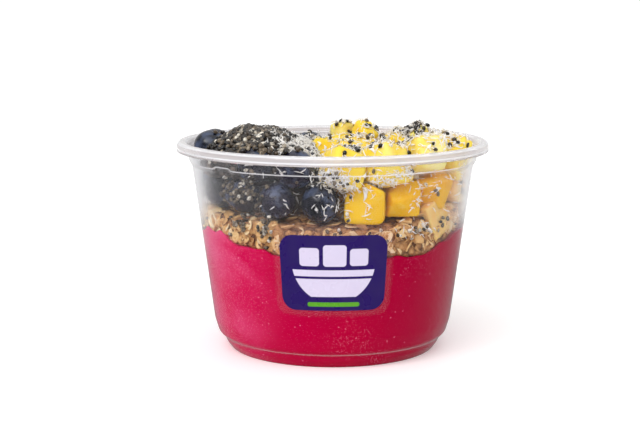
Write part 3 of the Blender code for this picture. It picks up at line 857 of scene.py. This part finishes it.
def cube_directions(steps):
    """Directions through an even grid on each side of a cube, merged at the cube's edges, and their quads."""
    across = np.tan(np.linspace(-1, 1, steps + 1) * math.pi / 4)
    u, v = (part.ravel() for part in np.meshgrid(across, across, indexing="ij"))
    ones = np.ones_like(u)
    sides = [(ones, u, v), (-ones, v, u), (v, ones, u), (u, -ones, v), (u, v, ones), (v, u, -ones)]
    points = np.concatenate([np.stack(side, axis=1) for side in sides])
    row, column = (part.ravel() for part in np.meshgrid(np.arange(steps), np.arange(steps), indexing="ij"))
    start = row * (steps + 1) + column
    quad = np.stack([start, start + steps + 1, start + steps + 2, start + 1], axis=1)
    quads = np.concatenate([quad + side * (steps + 1) ** 2 for side in range(6)])
    merged, back = np.unique(np.round(points, 6), axis=0, return_inverse=True)
    return unit(merged), back.ravel()[quads]


chunk_ways, chunk_quads = cube_directions(CHUNK_STEPS)


def chunk_points(middle, ways, rooms, draw):
    """The soft surface inside the planes, less shallow dents and fine fibres along the chunk."""
    first = ways[np.argmin(rooms)]
    side = turns_on(first[None], draw[:1])[0]
    rays = chunk_ways @ side.T
    pull = np.clip(rays @ ways.T / rooms, 1e-9, None) ** EDGE_POWER
    reach = pull.sum(axis=1) ** (-1 / EDGE_POWER)
    along = rays @ side[:, 0] * reach
    across = rays @ side[:, 1] * reach
    dents = 0.12 * MM * (1 + np.sin(along * 700 + draw[0]) * np.cos(across * 620 + draw[1]))
    fibres = 0.05 * MM * (1 + np.sin(across * 4200 + 3 * np.sin(along * 500 + draw[2])))
    return middle + rays * (reach - dents - fibres)[:, None]


def slice_planes(turn, lean, half):
    """Six planes of a flat slice that stands against the wall at this angle from the front, leaning over."""
    out = np.array([math.sin(turn), -math.cos(turn), 0])
    side = np.array([math.cos(turn), math.sin(turn), 0]) * math.cos(lean) + np.array([0, 0, math.sin(lean)])
    up = np.cross(side, -out)
    return np.stack([out, -out, side, -side, up, -up]), np.repeat(half, 2)


# %% Every chunk in its place
SUNK_SLICES = (  # angle from the front, lean, height and half sizes in mm of slices sunk into the granola
    (51, 0.45, 53.5, (1.8, 5.4, 7.0)), (118, -0.4, 53, (1.6, 4.2, 5.2)), (160, 0.3, 54, (1.6, 4.8, 5.6)),
)
TOP_PIECE = np.array([32.4, -5, 77.6]) * MM  # the middle of a pale piece that stands on its corner, on top
SOFT_TONE = -0.3  # for flesh gone soft and beige, at the right and where it is sunk in the granola
mango_names = sorted(name for name in nodes if name.startswith("mango"))
mango_batches, mango_tones = [], []
for name in mango_names:
    solid = Solid(name)
    chunk = chunk_points(solid.middle, *flat_faces(solid), rng.uniform(0, 6, 3))
    mango_batches.append((chunk, [chunk_quads]))
    x, y, z = solid.middle / MM
    paleness = 0.35 * rng.uniform(0, 1) + 0.65 * float(np.clip((z - 60) / 14, 0, 1))
    softness = float(np.clip((x - 30) / 8, 0, 1) * np.clip((72 - z) / 4, 0, 1))
    mango_tones.append(np.full(len(chunk), paleness + softness * (SOFT_TONE - paleness)))
for degrees, lean, height, half in SUNK_SLICES:
    turn, half = math.radians(degrees), np.array(half) * MM
    away = wall_radius((height - 4) * MM) - half[0] - 0.5 * MM
    middle = np.array([away * math.sin(turn), -away * math.cos(turn), height * MM])
    chunk = chunk_points(middle, *slice_planes(turn, lean, half), rng.uniform(0, 6, 3))
    mango_batches.append((chunk, [chunk_quads]))
    mango_tones.append(np.full(len(chunk), SOFT_TONE))
chunk = chunk_points(TOP_PIECE, *slice_planes(0.4, 0.4, np.array([3.8, 3.8, 6.0]) * MM), rng.uniform(0, 6, 3))
mango_batches.append((chunk, [chunk_quads]))
mango_tones.append(np.full(len(chunk), 0.95))

# %% [markdown]
# Ripe mango glows: light goes in at one face and comes out warmer at another, which is what subsurface
# scattering is for. Fibres and a lighter, wetter patchiness keep the faces from looking like plastic.

# %% The mango's finish


def mango_flesh():
    """Moist yellow flesh with pale fibres, some chunks paler than others."""
    finish = Finish("mango_flesh")
    tone = finish.attribute("tone")
    fibres = finish.noise(420, 4, finish.stretched((1, 0.25, 1)))
    clouds = finish.noise(120, 2)
    value = finish.sum("ADD", finish.sum("MULTIPLY", tone, 0.6), finish.sum("MULTIPLY", clouds, 0.45))
    base = finish.ramp(value, [
        (0.08, srgb(243, 200, 124)), (0.2, srgb(241, 176, 0)), (0.45, srgb(248, 199, 0)),
        (0.7, srgb(252, 219, 72)), (0.9, srgb(254, 237, 158)),
    ])
    colour = finish.blend(finish.spread(fibres, 0.5, 0.75, 0.0, 0.3), base, srgb(253, 234, 130))
    shader = finish.surface(
        Base_Color=colour,
        Roughness=finish.spread(clouds, 0.3, 0.7, 0.25, 0.45),
        Normal=finish.bump(fibres, 0.1 * MM),
        Specular_IOR_Level=0.25,
        Subsurface_Weight=0.3,
        Subsurface_Radius=(1.0, 0.6, 0.15),
        Subsurface_Scale=2.5 * MM,
    )
    return finish.done(shader)


mango_points, mango_all_faces = joined(mango_batches)
mango_values = {"tone": np.concatenate(mango_tones)}
mango = mesh_object("mango_chunks", mango_points, mango_all_faces, mango_flesh(), mango_values)
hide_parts(*mango_names)

# %% [markdown]
# ## The heap of chia seeds
# Real chia is poured on in a heap at the front left, and some of it runs down between the berries. Its core
# is a lumpy mound turned from an outline, and a thousand seeds cover it, so that no smooth core shows.

# %% The heap's core
HEAP_PLACE = np.array([-27, -17]) * MM
HEAP_OUTLINE = np.array([
    (0, 68.0), (18, 70.0), (23, 73.5), (22, 76.5), (18, 79.4), (13, 82.2), (7, 84.3), (0, 85.0),
]) * MM
HEAP_COLUMNS = 60
HEAP_SHRINK = 0.6 * MM  # room for the seeds on it


def heap_core():
    """The outline turned about the heap's middle, raised by waves, slumped at its left, and held in the wall."""
    outline = rounded(shifted(HEAP_OUTLINE, -HEAP_SHRINK), 3 * MM)
    grid = turned(outline, HEAP_COLUMNS) + np.append(HEAP_PLACE, 0)
    x, y, z = (grid[..., axis] for axis in range(3))
    lump = 0.9 * MM * (np.sin(x * 330) * np.cos(y * 290) + np.sin((x + y) * 210))
    slump = 2.6 * MM * np.clip((HEAP_PLACE[0] - x) / (20 * MM), 0, 1)
    inside_wall = np.minimum(1, (wall_radius(z) - 1.2 * MM) / np.hypot(x, y))
    grid = np.stack([x * inside_wall, y * inside_wall, z + lump - slump], axis=2)
    ends = [(*HEAP_PLACE, outline[0, 1]), (*HEAP_PLACE, grid[-1, :, 2].mean())]
    return grid, np.concatenate([grid.reshape(-1, 3), ends])


heap_grid, heap_points = heap_core()
heap_faces = ball_faces(heap_grid.shape[0], HEAP_COLUMNS)


def seed_bed():
    """Dark mottle between the seeds of the heap, kept dark as painted shade in the gaps."""
    finish = Finish("seed_bed")
    cells = finish.cells(520, "Color")
    value = finish.node("SeparateColor", {0: cells}).outputs[0]
    # Painted shade: the core stays dark so that the gaps between the seeds read as shadow.
    colour = finish.ramp(value, [(0.0, srgb(20, 16, 16)), (0.7, srgb(60, 48, 42)), (1.0, srgb(120, 104, 90))])
    shader = finish.surface(Base_Color=colour, Roughness=0.6, Normal=finish.bump(finish.cells(520), -0.6 * MM))
    return finish.done(shader)


heap = mesh_object("chia_core", heap_points, heap_faces, seed_bed())
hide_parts("chia_heap")

# %% [markdown]
# ## Strewing things
# Seeds and coconut fall from above, so each is dropped as a ray on to whatever lies highest, and turned to
# the slope that it hits. Some slip down between the fruit and the wall: those are rays from the wall inwards.
# The search tree holds the dressed fruit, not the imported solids, so that nothing floats over a softened edge.

# %% A search tree of everything that the toppings land on


def ground_tree(objects):
    """One search tree for the triangles of several objects."""
    found = [triangles_of(made.data) for made in objects]
    points, triangles = joined([(some, [corners]) for some, corners in found])
    return BVHTree.FromPolygons(points.tolist(), triangles[0].tolist())


ground = ground_tree([berries, mango, heap, bed, oats])


def found_by(starts, ways, reach):
    """Where rays from the starts meet the toppings, and the slopes there turned against the rays."""
    hits = [ground.ray_cast(Vector(start), Vector(way), reach) for start, way in zip(starts, ways)]
    met = np.array([hit[0] is not None for hit in hits])
    places = np.array([hit[0] for hit in hits if hit[0]])
    normals = np.array([hit[1] for hit in hits if hit[0]])
    facing = np.einsum("ni,ni->n", normals, ways[met])
    return places, normals * -np.sign(facing)[:, None]


def outward(around):
    """Level directions at these angles from the front, in radians, counted towards +X."""
    return np.stack([np.sin(around), -np.cos(around), 0 * around], axis=1)


# %% Dropped from above, and pushed in from the wall
DROP_LEVEL = 76 * MM
GAP_AT_WALL = 9 * MM  # the widest gap that things slip down


def strewn(spots, slant):
    """Drop places round several spots, each a middle, how far things scatter and how many fall, in mm.

    Each thing falls along its own line, which leans at random by up to about the slant, so that the steep
    sides of the fruit catch some too.
    """
    parts = [rng.normal((x * MM, y * MM), scatter * MM, (count, 2)) for x, y, scatter, count in spots]
    level = np.concatenate(parts)
    ways = unit(np.concatenate([rng.normal(0, slant, level.shape), np.full((len(level), 1), -1.0)], axis=1))
    starts = np.concatenate([level, np.full((len(level), 1), DROP_LEVEL)], axis=1) - ways * 40 * MM
    places, normals = found_by(starts, ways, 1.0)
    inside_tub = np.hypot(places[:, 0], places[:, 1]) < wall_radius(places[:, 2]) - 0.8 * MM
    return places[inside_tub], normals[inside_tub]


def pushed_in(spots):
    """Places between fruit and wall, each spot an angle, a height, how far both scatter and a count."""
    turns, heights = [], []
    for turn, height, turn_scatter, scatter, count in spots:
        turns.append(rng.normal(turn, turn_scatter, count))
        heights.append(rng.normal(height, scatter, count))
    around, z = np.radians(np.concatenate(turns)), np.concatenate(heights) * MM
    out = outward(around)
    starts = out * (wall_radius(z) - 0.3 * MM)[:, None] + np.stack([0 * z, 0 * z, z], axis=1)
    return found_by(starts, -out, GAP_AT_WALL)


def held_inside(points):
    """The points drawn in level where they would pass the wall's food side."""
    radius = np.hypot(points[:, 0], points[:, 1])
    share = np.minimum(1, (wall_radius(points[:, 2]) - 0.15 * MM) / np.maximum(radius, 1 * MM))
    return points * np.stack([share, share, np.ones_like(share)], axis=1)


# %% [markdown]
# Coconut lies in fluffy piles. The height of the fluff over the fruit is the highest of a few bells, so the
# same function lifts the slivers into the pile and the seeds on to it.

# %% The fluff's depth
PILES = (  # middle, half width and depth in mm
    (32, -5, 4.6, 1.8), (9, -26, 8.0, 2.6), (-12, -30, 8.0, 1.6), (38, -12, 6.0, 1.8), (14, 3, 6.0, 1.8),
    (32, 8, 7.0, 1.8), (-8, -2, 6.0, 1.6), (34, -24, 7.0, 2.0),
)


def fluff(x, y):
    """Depth of the coconut at x, y: the highest of several bells."""
    bells = [deep * np.exp(-((x / MM - a) ** 2 + (y / MM - b) ** 2) / wide ** 2) for a, b, wide, deep in PILES]
    return np.max(bells, axis=0) * MM


# %% Chia seeds
SEED_SIZE = np.array([1.2, 0.86, 0.74]) * MM
SEED_SPOTS = (
    (-30, -18, 5.2, 860), (-29, -34, 5, 190), (-37, -28, 3, 50), (-16, -40, 5, 30), (7, -20, 4, 80), (32, -5, 3, 60),
    (40, -14, 7, 60), (20, -32, 9, 60), (16, 10, 12, 110), (-12, 26, 12, 60), (-46, -2, 3, 5), (-34, 16, 7, 30),
    (32, 10, 8, 60),
)
SEEDS_BEHIND_WALL = (
    (-42, 64.5, 5.0, 2.8, 110), (-2, 70, 4, 2.5, 25), (-36, 72, 12, 2.0, 6), (-60, 73, 6, 2.0, 6),
    (4, 64.5, 2, 4.0, 12), (-44, 53, 2.2, 1.5, 40), (-29.8, 52.5, 1.3, 3.0, 34), (-10, 50, 25, 2.5, 30),
    (40, 50, 20, 2.5, 16), (44, 66, 6, 4.0, 4), (-100, 58, 25, 8.0, 60), (-160, 58, 25, 8.0, 60),
    (110, 58, 30, 8.0, 50),
)


def seed_shape():
    """An egg: a ball stretched along x, a little narrower towards one end."""
    ball, faces = small_ball(4, 7)
    x, y, z = ball.T
    taper = 1 - 0.18 * x
    return np.stack([x, y * taper, z * taper], axis=1), faces


fallen, fallen_normals = strewn(SEED_SPOTS, 0.5)
lifted = fluff(fallen[:, 0], fallen[:, 1]) * 0.7 * np.clip(fallen_normals[:, 2], 0, 1)
fallen = fallen + fallen_normals * lifted[:, None]
pushed, pushed_normals = pushed_in(SEEDS_BEHIND_WALL)
places, normals = np.concatenate([fallen, pushed]), np.concatenate([fallen_normals, pushed_normals])
lean = unit(normals + rng.normal(0, 0.45, normals.shape))
smaller = np.where(places[:, 0] < -12 * MM, 1.08, 0.88)
smaller = np.where(np.arange(len(lean)) < len(fallen), smaller, 0.78)[:, None, None]
turns = turns_on(lean, rng.uniform(0, 6.3, len(lean))) * rng.uniform(0.85, 1.1, (len(lean), 1, 1)) * SEED_SIZE
turns = turns * smaller
places = places + normals * rng.uniform(0.2, 0.75, (len(lean), 1)) * MM
seed, seed_faces = seed_shape()
seed_points, seed_all_faces = repeated(seed, seed_faces, turns, places)
seed_points = held_inside(seed_points)
pale_from = np.where(np.arange(len(places)) < len(fallen), 0.0, 0.45)
seed_tones = np.repeat(rng.uniform(pale_from, 1), len(seed))
print(len(fallen), "seeds on top and", len(pushed), "behind the wall")


def chia_seeds():
    """Mottled seeds, mostly grey-brown and black, some nearly white."""
    finish = Finish("chia_seeds")
    tone = finish.attribute("tone")
    base = finish.ramp(tone, [
        (0.0, srgb(10, 8, 8)), (0.34, srgb(28, 23, 20)), (0.64, srgb(76, 64, 52)), (0.88, srgb(136, 120, 98)),
        (0.97, srgb(240, 232, 216)),
    ])
    mottle = finish.spread(finish.noise(1900, 3), 0.5, 0.62)
    colour = finish.blend(finish.sum("MULTIPLY", mottle, 0.7), base, srgb(12, 9, 9))
    shader = finish.surface(Base_Color=colour, Roughness=finish.spread(tone, 0.0, 1.0, 0.14, 0.34))
    return finish.done(shader)


seeds = mesh_object("chia_seeds", seed_points, seed_all_faces, chia_seeds(), {"tone": seed_tones})

# %% [markdown]
# ## Coconut
# Desiccated coconut is a fluff of thin slivers with a few broader chips. A sliver is a profile of four points
# carried along a bent path, thinner at both ends.

# %% Slivers of coconut
SLIVER_SPOTS = (
    (-13, -30, 6, 700), (9, -27, 8, 760), (32, -5, 4, 620), (22, -34, 9, 620), (38, -20, 7, 620), (12, 4, 10, 380),
    (-12, 4, 9, 150), (30, 10, 8, 300), (4, 26, 10, 90), (-13, -18, 4, 240),
)
SLIVERS_BEHIND_WALL = (
    (-3, 59, 4.0, 2.5, 18), (-20.6, 61.5, 2.5, 1.5, 7), (-2, 70.5, 3.6, 2.4, 210), (-25, 71, 4, 3.0, 8),
    (14, 58.5, 1.2, 3.0, 10), (12, 68.5, 4, 1.8, 60), (22, 69, 3, 1.5, 50), (30, 71.5, 3.5, 1.5, 70),
    (43, 67, 3, 2.6, 60), (36, 62, 2, 2.0, 12), (4, 65.5, 1.8, 4.0, 80), (38, 50.5, 7, 2.0, 34),
    (-48, 72, 12, 3.0, 5), (75, 66, 18, 5.0, 90), (130, 64, 22, 6.0, 90), (-130, 66, 30, 5.0, 40),
)
SLIVER_STATIONS = 4
CHIP_SHARE = 0.09  # how many are broad chips


def sliver_shape(bend):
    """A sliver of half-length one along x, bent upwards by the square of x, with a flat four-sided section."""
    x = np.linspace(-1, 1, SLIVER_STATIONS)[:, None]
    thick = np.sqrt(np.clip(1.08 - x * x, 0, 1))
    turn = (np.arange(4) * math.pi / 2 + math.pi / 4)[None, :]
    y, z = thick * np.cos(turn), thick * np.sin(turn)
    grid = np.stack([z, y, -x + 0 * turn], axis=2)[:, ::-1]
    points = np.concatenate([grid.reshape(-1, 3), [(0, 0, 1.04), (0, 0, -1.04)]])
    points = points[:, [2, 1, 0]]
    points[:, 1] += bend * points[:, 0] ** 2
    return points, ball_faces(SLIVER_STATIONS, 4)


fallen, fallen_normals = strewn(SLIVER_SPOTS, 0.7)
depth = fluff(fallen[:, 0], fallen[:, 1]) * rng.uniform(0, 1, len(fallen)) * np.clip(fallen_normals[:, 2], 0.3, 1)
fallen = fallen + fallen_normals * depth[:, None]
pushed, pushed_normals = pushed_in(SLIVERS_BEHIND_WALL)
places, normals = np.concatenate([fallen, pushed]), np.concatenate([fallen_normals, pushed_normals])
count = len(places)
lean = unit(normals + rng.normal(0, 0.5, normals.shape))
chips = rng.uniform(0, 1, count) < CHIP_SHARE
sizes = np.stack([
    0.55 + 1.5 * rng.uniform(0, 1, count) ** 1.6,
    np.where(chips, rng.uniform(0.5, 0.9, count), rng.uniform(0.14, 0.3, count)),
    rng.uniform(0.1, 0.18, count),
], axis=1) * MM
turns = turns_on(lean, rng.uniform(0, 6.3, count)) * sizes[:, None, :]
places = places + normals * rng.uniform(0.15, 0.8, (count, 1)) * MM
sliver, sliver_faces = sliver_shape(0.9)
sliver_points, sliver_all_faces = repeated(sliver, sliver_faces, turns, places)
sliver_points = held_inside(sliver_points)
print(len(fallen), "slivers on top and", len(pushed), "behind the wall")


def coconut():
    """White flesh that lets a little light through."""
    finish = Finish("coconut")
    grain = finish.noise(1100, 2)
    shader = finish.surface(
        Base_Color=finish.blend(grain, srgb(254, 252, 250), srgb(246, 240, 232)),
        Roughness=finish.spread(grain, 0.3, 0.7, 0.4, 0.65),
        Subsurface_Weight=0.2,
        Subsurface_Radius=(1.0, 0.9, 0.8),
        Subsurface_Scale=0.6 * MM,
    )
    return finish.done(shader)


slivers = mesh_object("coconut_slivers", sliver_points, sliver_all_faces, coconut())

# %% [markdown]
# ## The label
# The label is a clear film with print on it. The film is a thin patch with rounded corners that follows the
# wall: the patch is a superellipse, laid round the tub by turning its width into an angle. Its own map holds
# millimetres, so the print is drawn to size: a plain bowl with diced fruit and a green band on indigo.

# %% The film
FILM = 0.12 * MM
LABEL_HALF = np.array([21.6, 17.2]) * MM
LABEL_MIDDLE = 37.5 * MM
LABEL_RINGS, LABEL_COLUMNS = 26, 120
SQUARENESS = 7.0


def label_film():
    """Points, faces and map of the film: rings outwards over its front, then inwards over its back."""
    share = np.concatenate([np.linspace(0.04, 1, LABEL_RINGS), np.linspace(1, 0.04, LABEL_RINGS)])[:, None]
    depth = np.concatenate([np.full(LABEL_RINGS, FILM), np.zeros(LABEL_RINGS)])[:, None]
    turn = np.linspace(0, 2 * math.pi, LABEL_COLUMNS, endpoint=False)[None, :]
    corner = (np.abs(np.cos(turn)) ** SQUARENESS + np.abs(np.sin(turn)) ** SQUARENESS) ** (-1 / SQUARENESS)
    across = share * corner * np.cos(turn) * LABEL_HALF[0]
    up = share * corner * np.sin(turn) * LABEL_HALF[1] + LABEL_MIDDLE
    across = np.append(across.ravel(), [0, 0])
    up = np.append(up.ravel(), [LABEL_MIDDLE] * 2)
    away = wall_radius(up) + WALL + 0.36 * MM + np.append((depth + 0 * turn).ravel(), [FILM, 0])
    angle = across / (wall_radius(LABEL_MIDDLE) + WALL)
    points = np.stack([away * np.sin(angle), -away * np.cos(angle), up], axis=1)
    quads, triangles = ball_faces(2 * LABEL_RINGS, LABEL_COLUMNS)
    return points, [quads, triangles], np.stack([across, up - LABEL_MIDDLE], axis=1) / MM


label_points, label_faces, label_map = label_film()

# %% The print


def printed_film():
    """Clear film with layers of print, each drawn by sums on the map's millimetres."""
    finish = Finish("printed_film")
    across, up = (finish.attribute(name) for name in ("across", "up"))

    def inside_of(distance, soft=0.12):
        """1 where the distance is under zero."""
        return finish.spread(distance, soft, -soft)

    def disc(x, y, radius):
        """Distance to a circle."""
        square = finish.sum(
            "ADD",
            finish.sum("POWER", finish.sum("ABSOLUTE", finish.sum("SUBTRACT", across, x)), 2.0),
            finish.sum("POWER", finish.sum("ABSOLUTE", finish.sum("SUBTRACT", up, y)), 2.0),
        )
        return finish.sum("SUBTRACT", finish.sum("SQRT", square), radius)

    def box(x, y, half_x, half_y, corner):
        """Distance to a box with round corners."""
        out_x = finish.sum("SUBTRACT", finish.sum("ABSOLUTE", finish.sum("SUBTRACT", across, x)), half_x - corner)
        out_y = finish.sum("SUBTRACT", finish.sum("ABSOLUTE", finish.sum("SUBTRACT", up, y)), half_y - corner)
        square = finish.sum(
            "ADD",
            finish.sum("POWER", finish.sum("MAXIMUM", out_x, 0.0), 2.0),
            finish.sum("POWER", finish.sum("MAXIMUM", out_y, 0.0), 2.0),
        )
        within = finish.sum("MINIMUM", finish.sum("MAXIMUM", out_x, out_y), 0.0)
        return finish.sum("SUBTRACT", finish.sum("ADD", finish.sum("SQRT", square), within), corner)

    indigo, lilac, green = srgb(40, 18, 100), srgb(222, 214, 238), srgb(92, 168, 34)
    sheen = finish.noise(160, 2)
    light = finish.blend(sheen, lilac, srgb(214, 204, 232))
    panel = box(0.0, -1.0, 18.8, 13.7, 5.0)
    colour = indigo
    bowl = finish.sum("MAXIMUM", disc(0.0, 2.6, 14.6), finish.sum("SUBTRACT", up, 0.2))
    bowl = finish.sum("MAXIMUM", bowl, finish.sum("SUBTRACT", -9.6, up))
    colour = finish.blend(inside_of(bowl), colour, light)
    for x, y, half_x, half_y in ((-8.4, 4.9, 3.4, 3.3), (0.4, 5.4, 4.0, 3.9), (8.8, 4.8, 3.2, 3.1)):
        colour = finish.blend(inside_of(box(x, y, half_x, half_y, 1.1)), colour, light)
    colour = finish.blend(inside_of(box(0.0, -12.4, 9.4, 0.8, 0.75)), colour, green)
    colour = finish.blend(inside_of(box(0.0, -2.6, 18.0, 0.45, 0.3)), colour, indigo)
    printed = inside_of(panel, 0.1)
    ink = finish.surface(Base_Color=colour, Roughness=finish.spread(sheen, 0.3, 0.7, 0.25, 0.4), Coat_Weight=0.2)
    path = finish.node("LightPath").outputs
    lights_food = finish.sum("MAXIMUM", path["Is Shadow Ray"], path["Is Diffuse Ray"])
    thin = finish.node("BsdfTransparent", {"Color": srgb(244, 238, 244)}).outputs[0]
    ink = finish.mixed(finish.all_of(lights_food, 0.75), ink, thin)
    clear = finish.node("BsdfTransparent", {"Color": srgb(253, 250, 251)}).outputs[0]
    gloss = finish.surface(Base_Color=srgb(240, 210, 214), Roughness=0.2)
    rim = finish.sum("MAXIMUM", *(
        finish.spread(finish.sum("ABSOLUTE", way), half, half + 1.2)
        for way, half in ((across, LABEL_HALF[0] / MM - 1.4), (up, LABEL_HALF[1] / MM - 1.4))
    ))
    film = finish.mixed(finish.sum("SUBTRACT", 0.018, finish.sum("MULTIPLY", rim, 0.012)), clear, gloss)
    return finish.done(finish.mixed(printed, film, ink))


label_values = {"across": label_map[:, 0], "up": label_map[:, 1]}
label = mesh_object("label_film", label_points, label_faces, printed_film(), label_values)
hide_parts("label")

# %% [markdown]
# ## Floor and light
# The bowl stands on a plain white table in very soft light, with a white room round it. Behind the camera
# the room is dark, as it is behind a photographer. A gloss that looks that way mirrors little, so the front
# of the wall stays clear, and its sides, which mirror the white, look whiter.

# %% The floor
FLOOR_HALF = 3.0
floor_mesh = bpy.data.meshes.new("floor")
floor_corners = [(-FLOOR_HALF, -FLOOR_HALF, 0), (FLOOR_HALF, -FLOOR_HALF, 0)]
floor_corners += [(FLOOR_HALF, FLOOR_HALF, 0), (-FLOOR_HALF, FLOOR_HALF, 0)]
floor_mesh.from_pydata(floor_corners, [], [(0, 1, 2, 3)])
floor = bpy.data.objects.new("floor", floor_mesh)
bpy.context.scene.collection.objects.link(floor)
MIRRORED_FRONT, MIRRORED_SIDES, MIRRORED_BACK = 0.03, 0.3, 0.5
OVEREXPOSED = 0.22  # how much brighter the photographer's table is than the light on it
paper = Finish("white_paper")
paper_tone = paper.blend(paper.noise(3, 2), srgb(250, 250, 250), srgb(254, 254, 254))
brighter = paper.all_of(paper.node("LightPath").outputs["Is Camera Ray"], OVEREXPOSED)
white = paper.surface(Base_Color=paper_tone, Roughness=0.6, Emission_Color=(1, 1, 1, 1), Emission_Strength=brighter)
table_y = paper.node("SeparateXYZ", {0: paper.place}).outputs[1]
glow = paper.spread(table_y, -0.07, 0.0, MIRRORED_FRONT, MIRRORED_SIDES)
glow = paper.sum("ADD", glow, paper.spread(table_y, 0.06, 0.3, 0.0, MIRRORED_BACK))
dim = paper.node("Emission", {"Strength": glow}).outputs[0]
floor_mesh.materials.append(paper.done(paper.mixed(paper.is_mirrored(), white, dim)))

# %% The room
SEEN_WHITE, FILL_LIGHT, MIRRORED_TOP = 1.02, 0.66, 1.2


def white_room():
    """A world that is white to the eye, a little less to the things that it lights, and dark in front to a gloss."""
    world = bpy.data.worlds.new("room")
    room = Nodes(world, "Generated")
    _, y, z = room.node("SeparateXYZ", {0: room.place}).outputs
    mirrored = room.spread(y, -0.8, -0.1, MIRRORED_FRONT, MIRRORED_SIDES)
    mirrored = room.sum("ADD", mirrored, room.spread(y, 0.2, 0.8, 0.0, MIRRORED_BACK))
    mirrored = room.sum("MAXIMUM", mirrored, room.spread(z, 0.35, 0.9, 0.0, MIRRORED_TOP))
    path = room.node("LightPath").outputs
    bounced = room.sum("GREATER_THAN", path["Diffuse Depth"], 0.5)
    strength = room.node("Mix", {0: bounced, 2: SEEN_WHITE, 3: FILL_LIGHT}).outputs[0]
    strength = room.node("Mix", {0: room.is_mirrored(), 2: strength, 3: mirrored}).outputs[0]
    background = room.node("Background", {"Strength": strength, "Color": (1, 1, 1, 1)}).outputs[0]
    room.node("OutputWorld", {"Surface": background})
    return world


bpy.context.scene.world = white_room()

# %% The lamps


def add_lamp(name, kind, place, energy, **settings):
    """A lamp at this place that shines towards the bowl."""
    data = bpy.data.lights.new(name, kind)
    data.energy = energy
    for key, value in settings.items():
        setattr(data, key, value)
    lamp = bpy.data.objects.new(name, data)
    lamp.location = place
    lamp.rotation_euler = (Vector((0, 0, 0.04)) - Vector(place)).to_track_quat("-Z", "Y").to_euler()
    bpy.context.scene.collection.objects.link(lamp)


add_lamp("sky_light", "SUN", (-0.2, -0.7, 0.75), 1.15, angle=math.radians(45))
add_lamp("window", "AREA", (-0.45, -0.45, 0.6), 1.2, size=0.3)
add_lamp("reflector", "AREA", (0.6, -0.25, 0.3), 0.6, size=0.5)

# %% How the picture is worked out
scene = bpy.context.scene
scene.view_settings.view_transform = "Standard"
scene.cycles.use_denoising = True
scene.cycles.max_bounces = 14
scene.cycles.transmission_bounces = 12
scene.cycles.transparent_max_bounces = 16
scene.cycles.caustics_reflective = False
scene.cycles.caustics_refractive = False
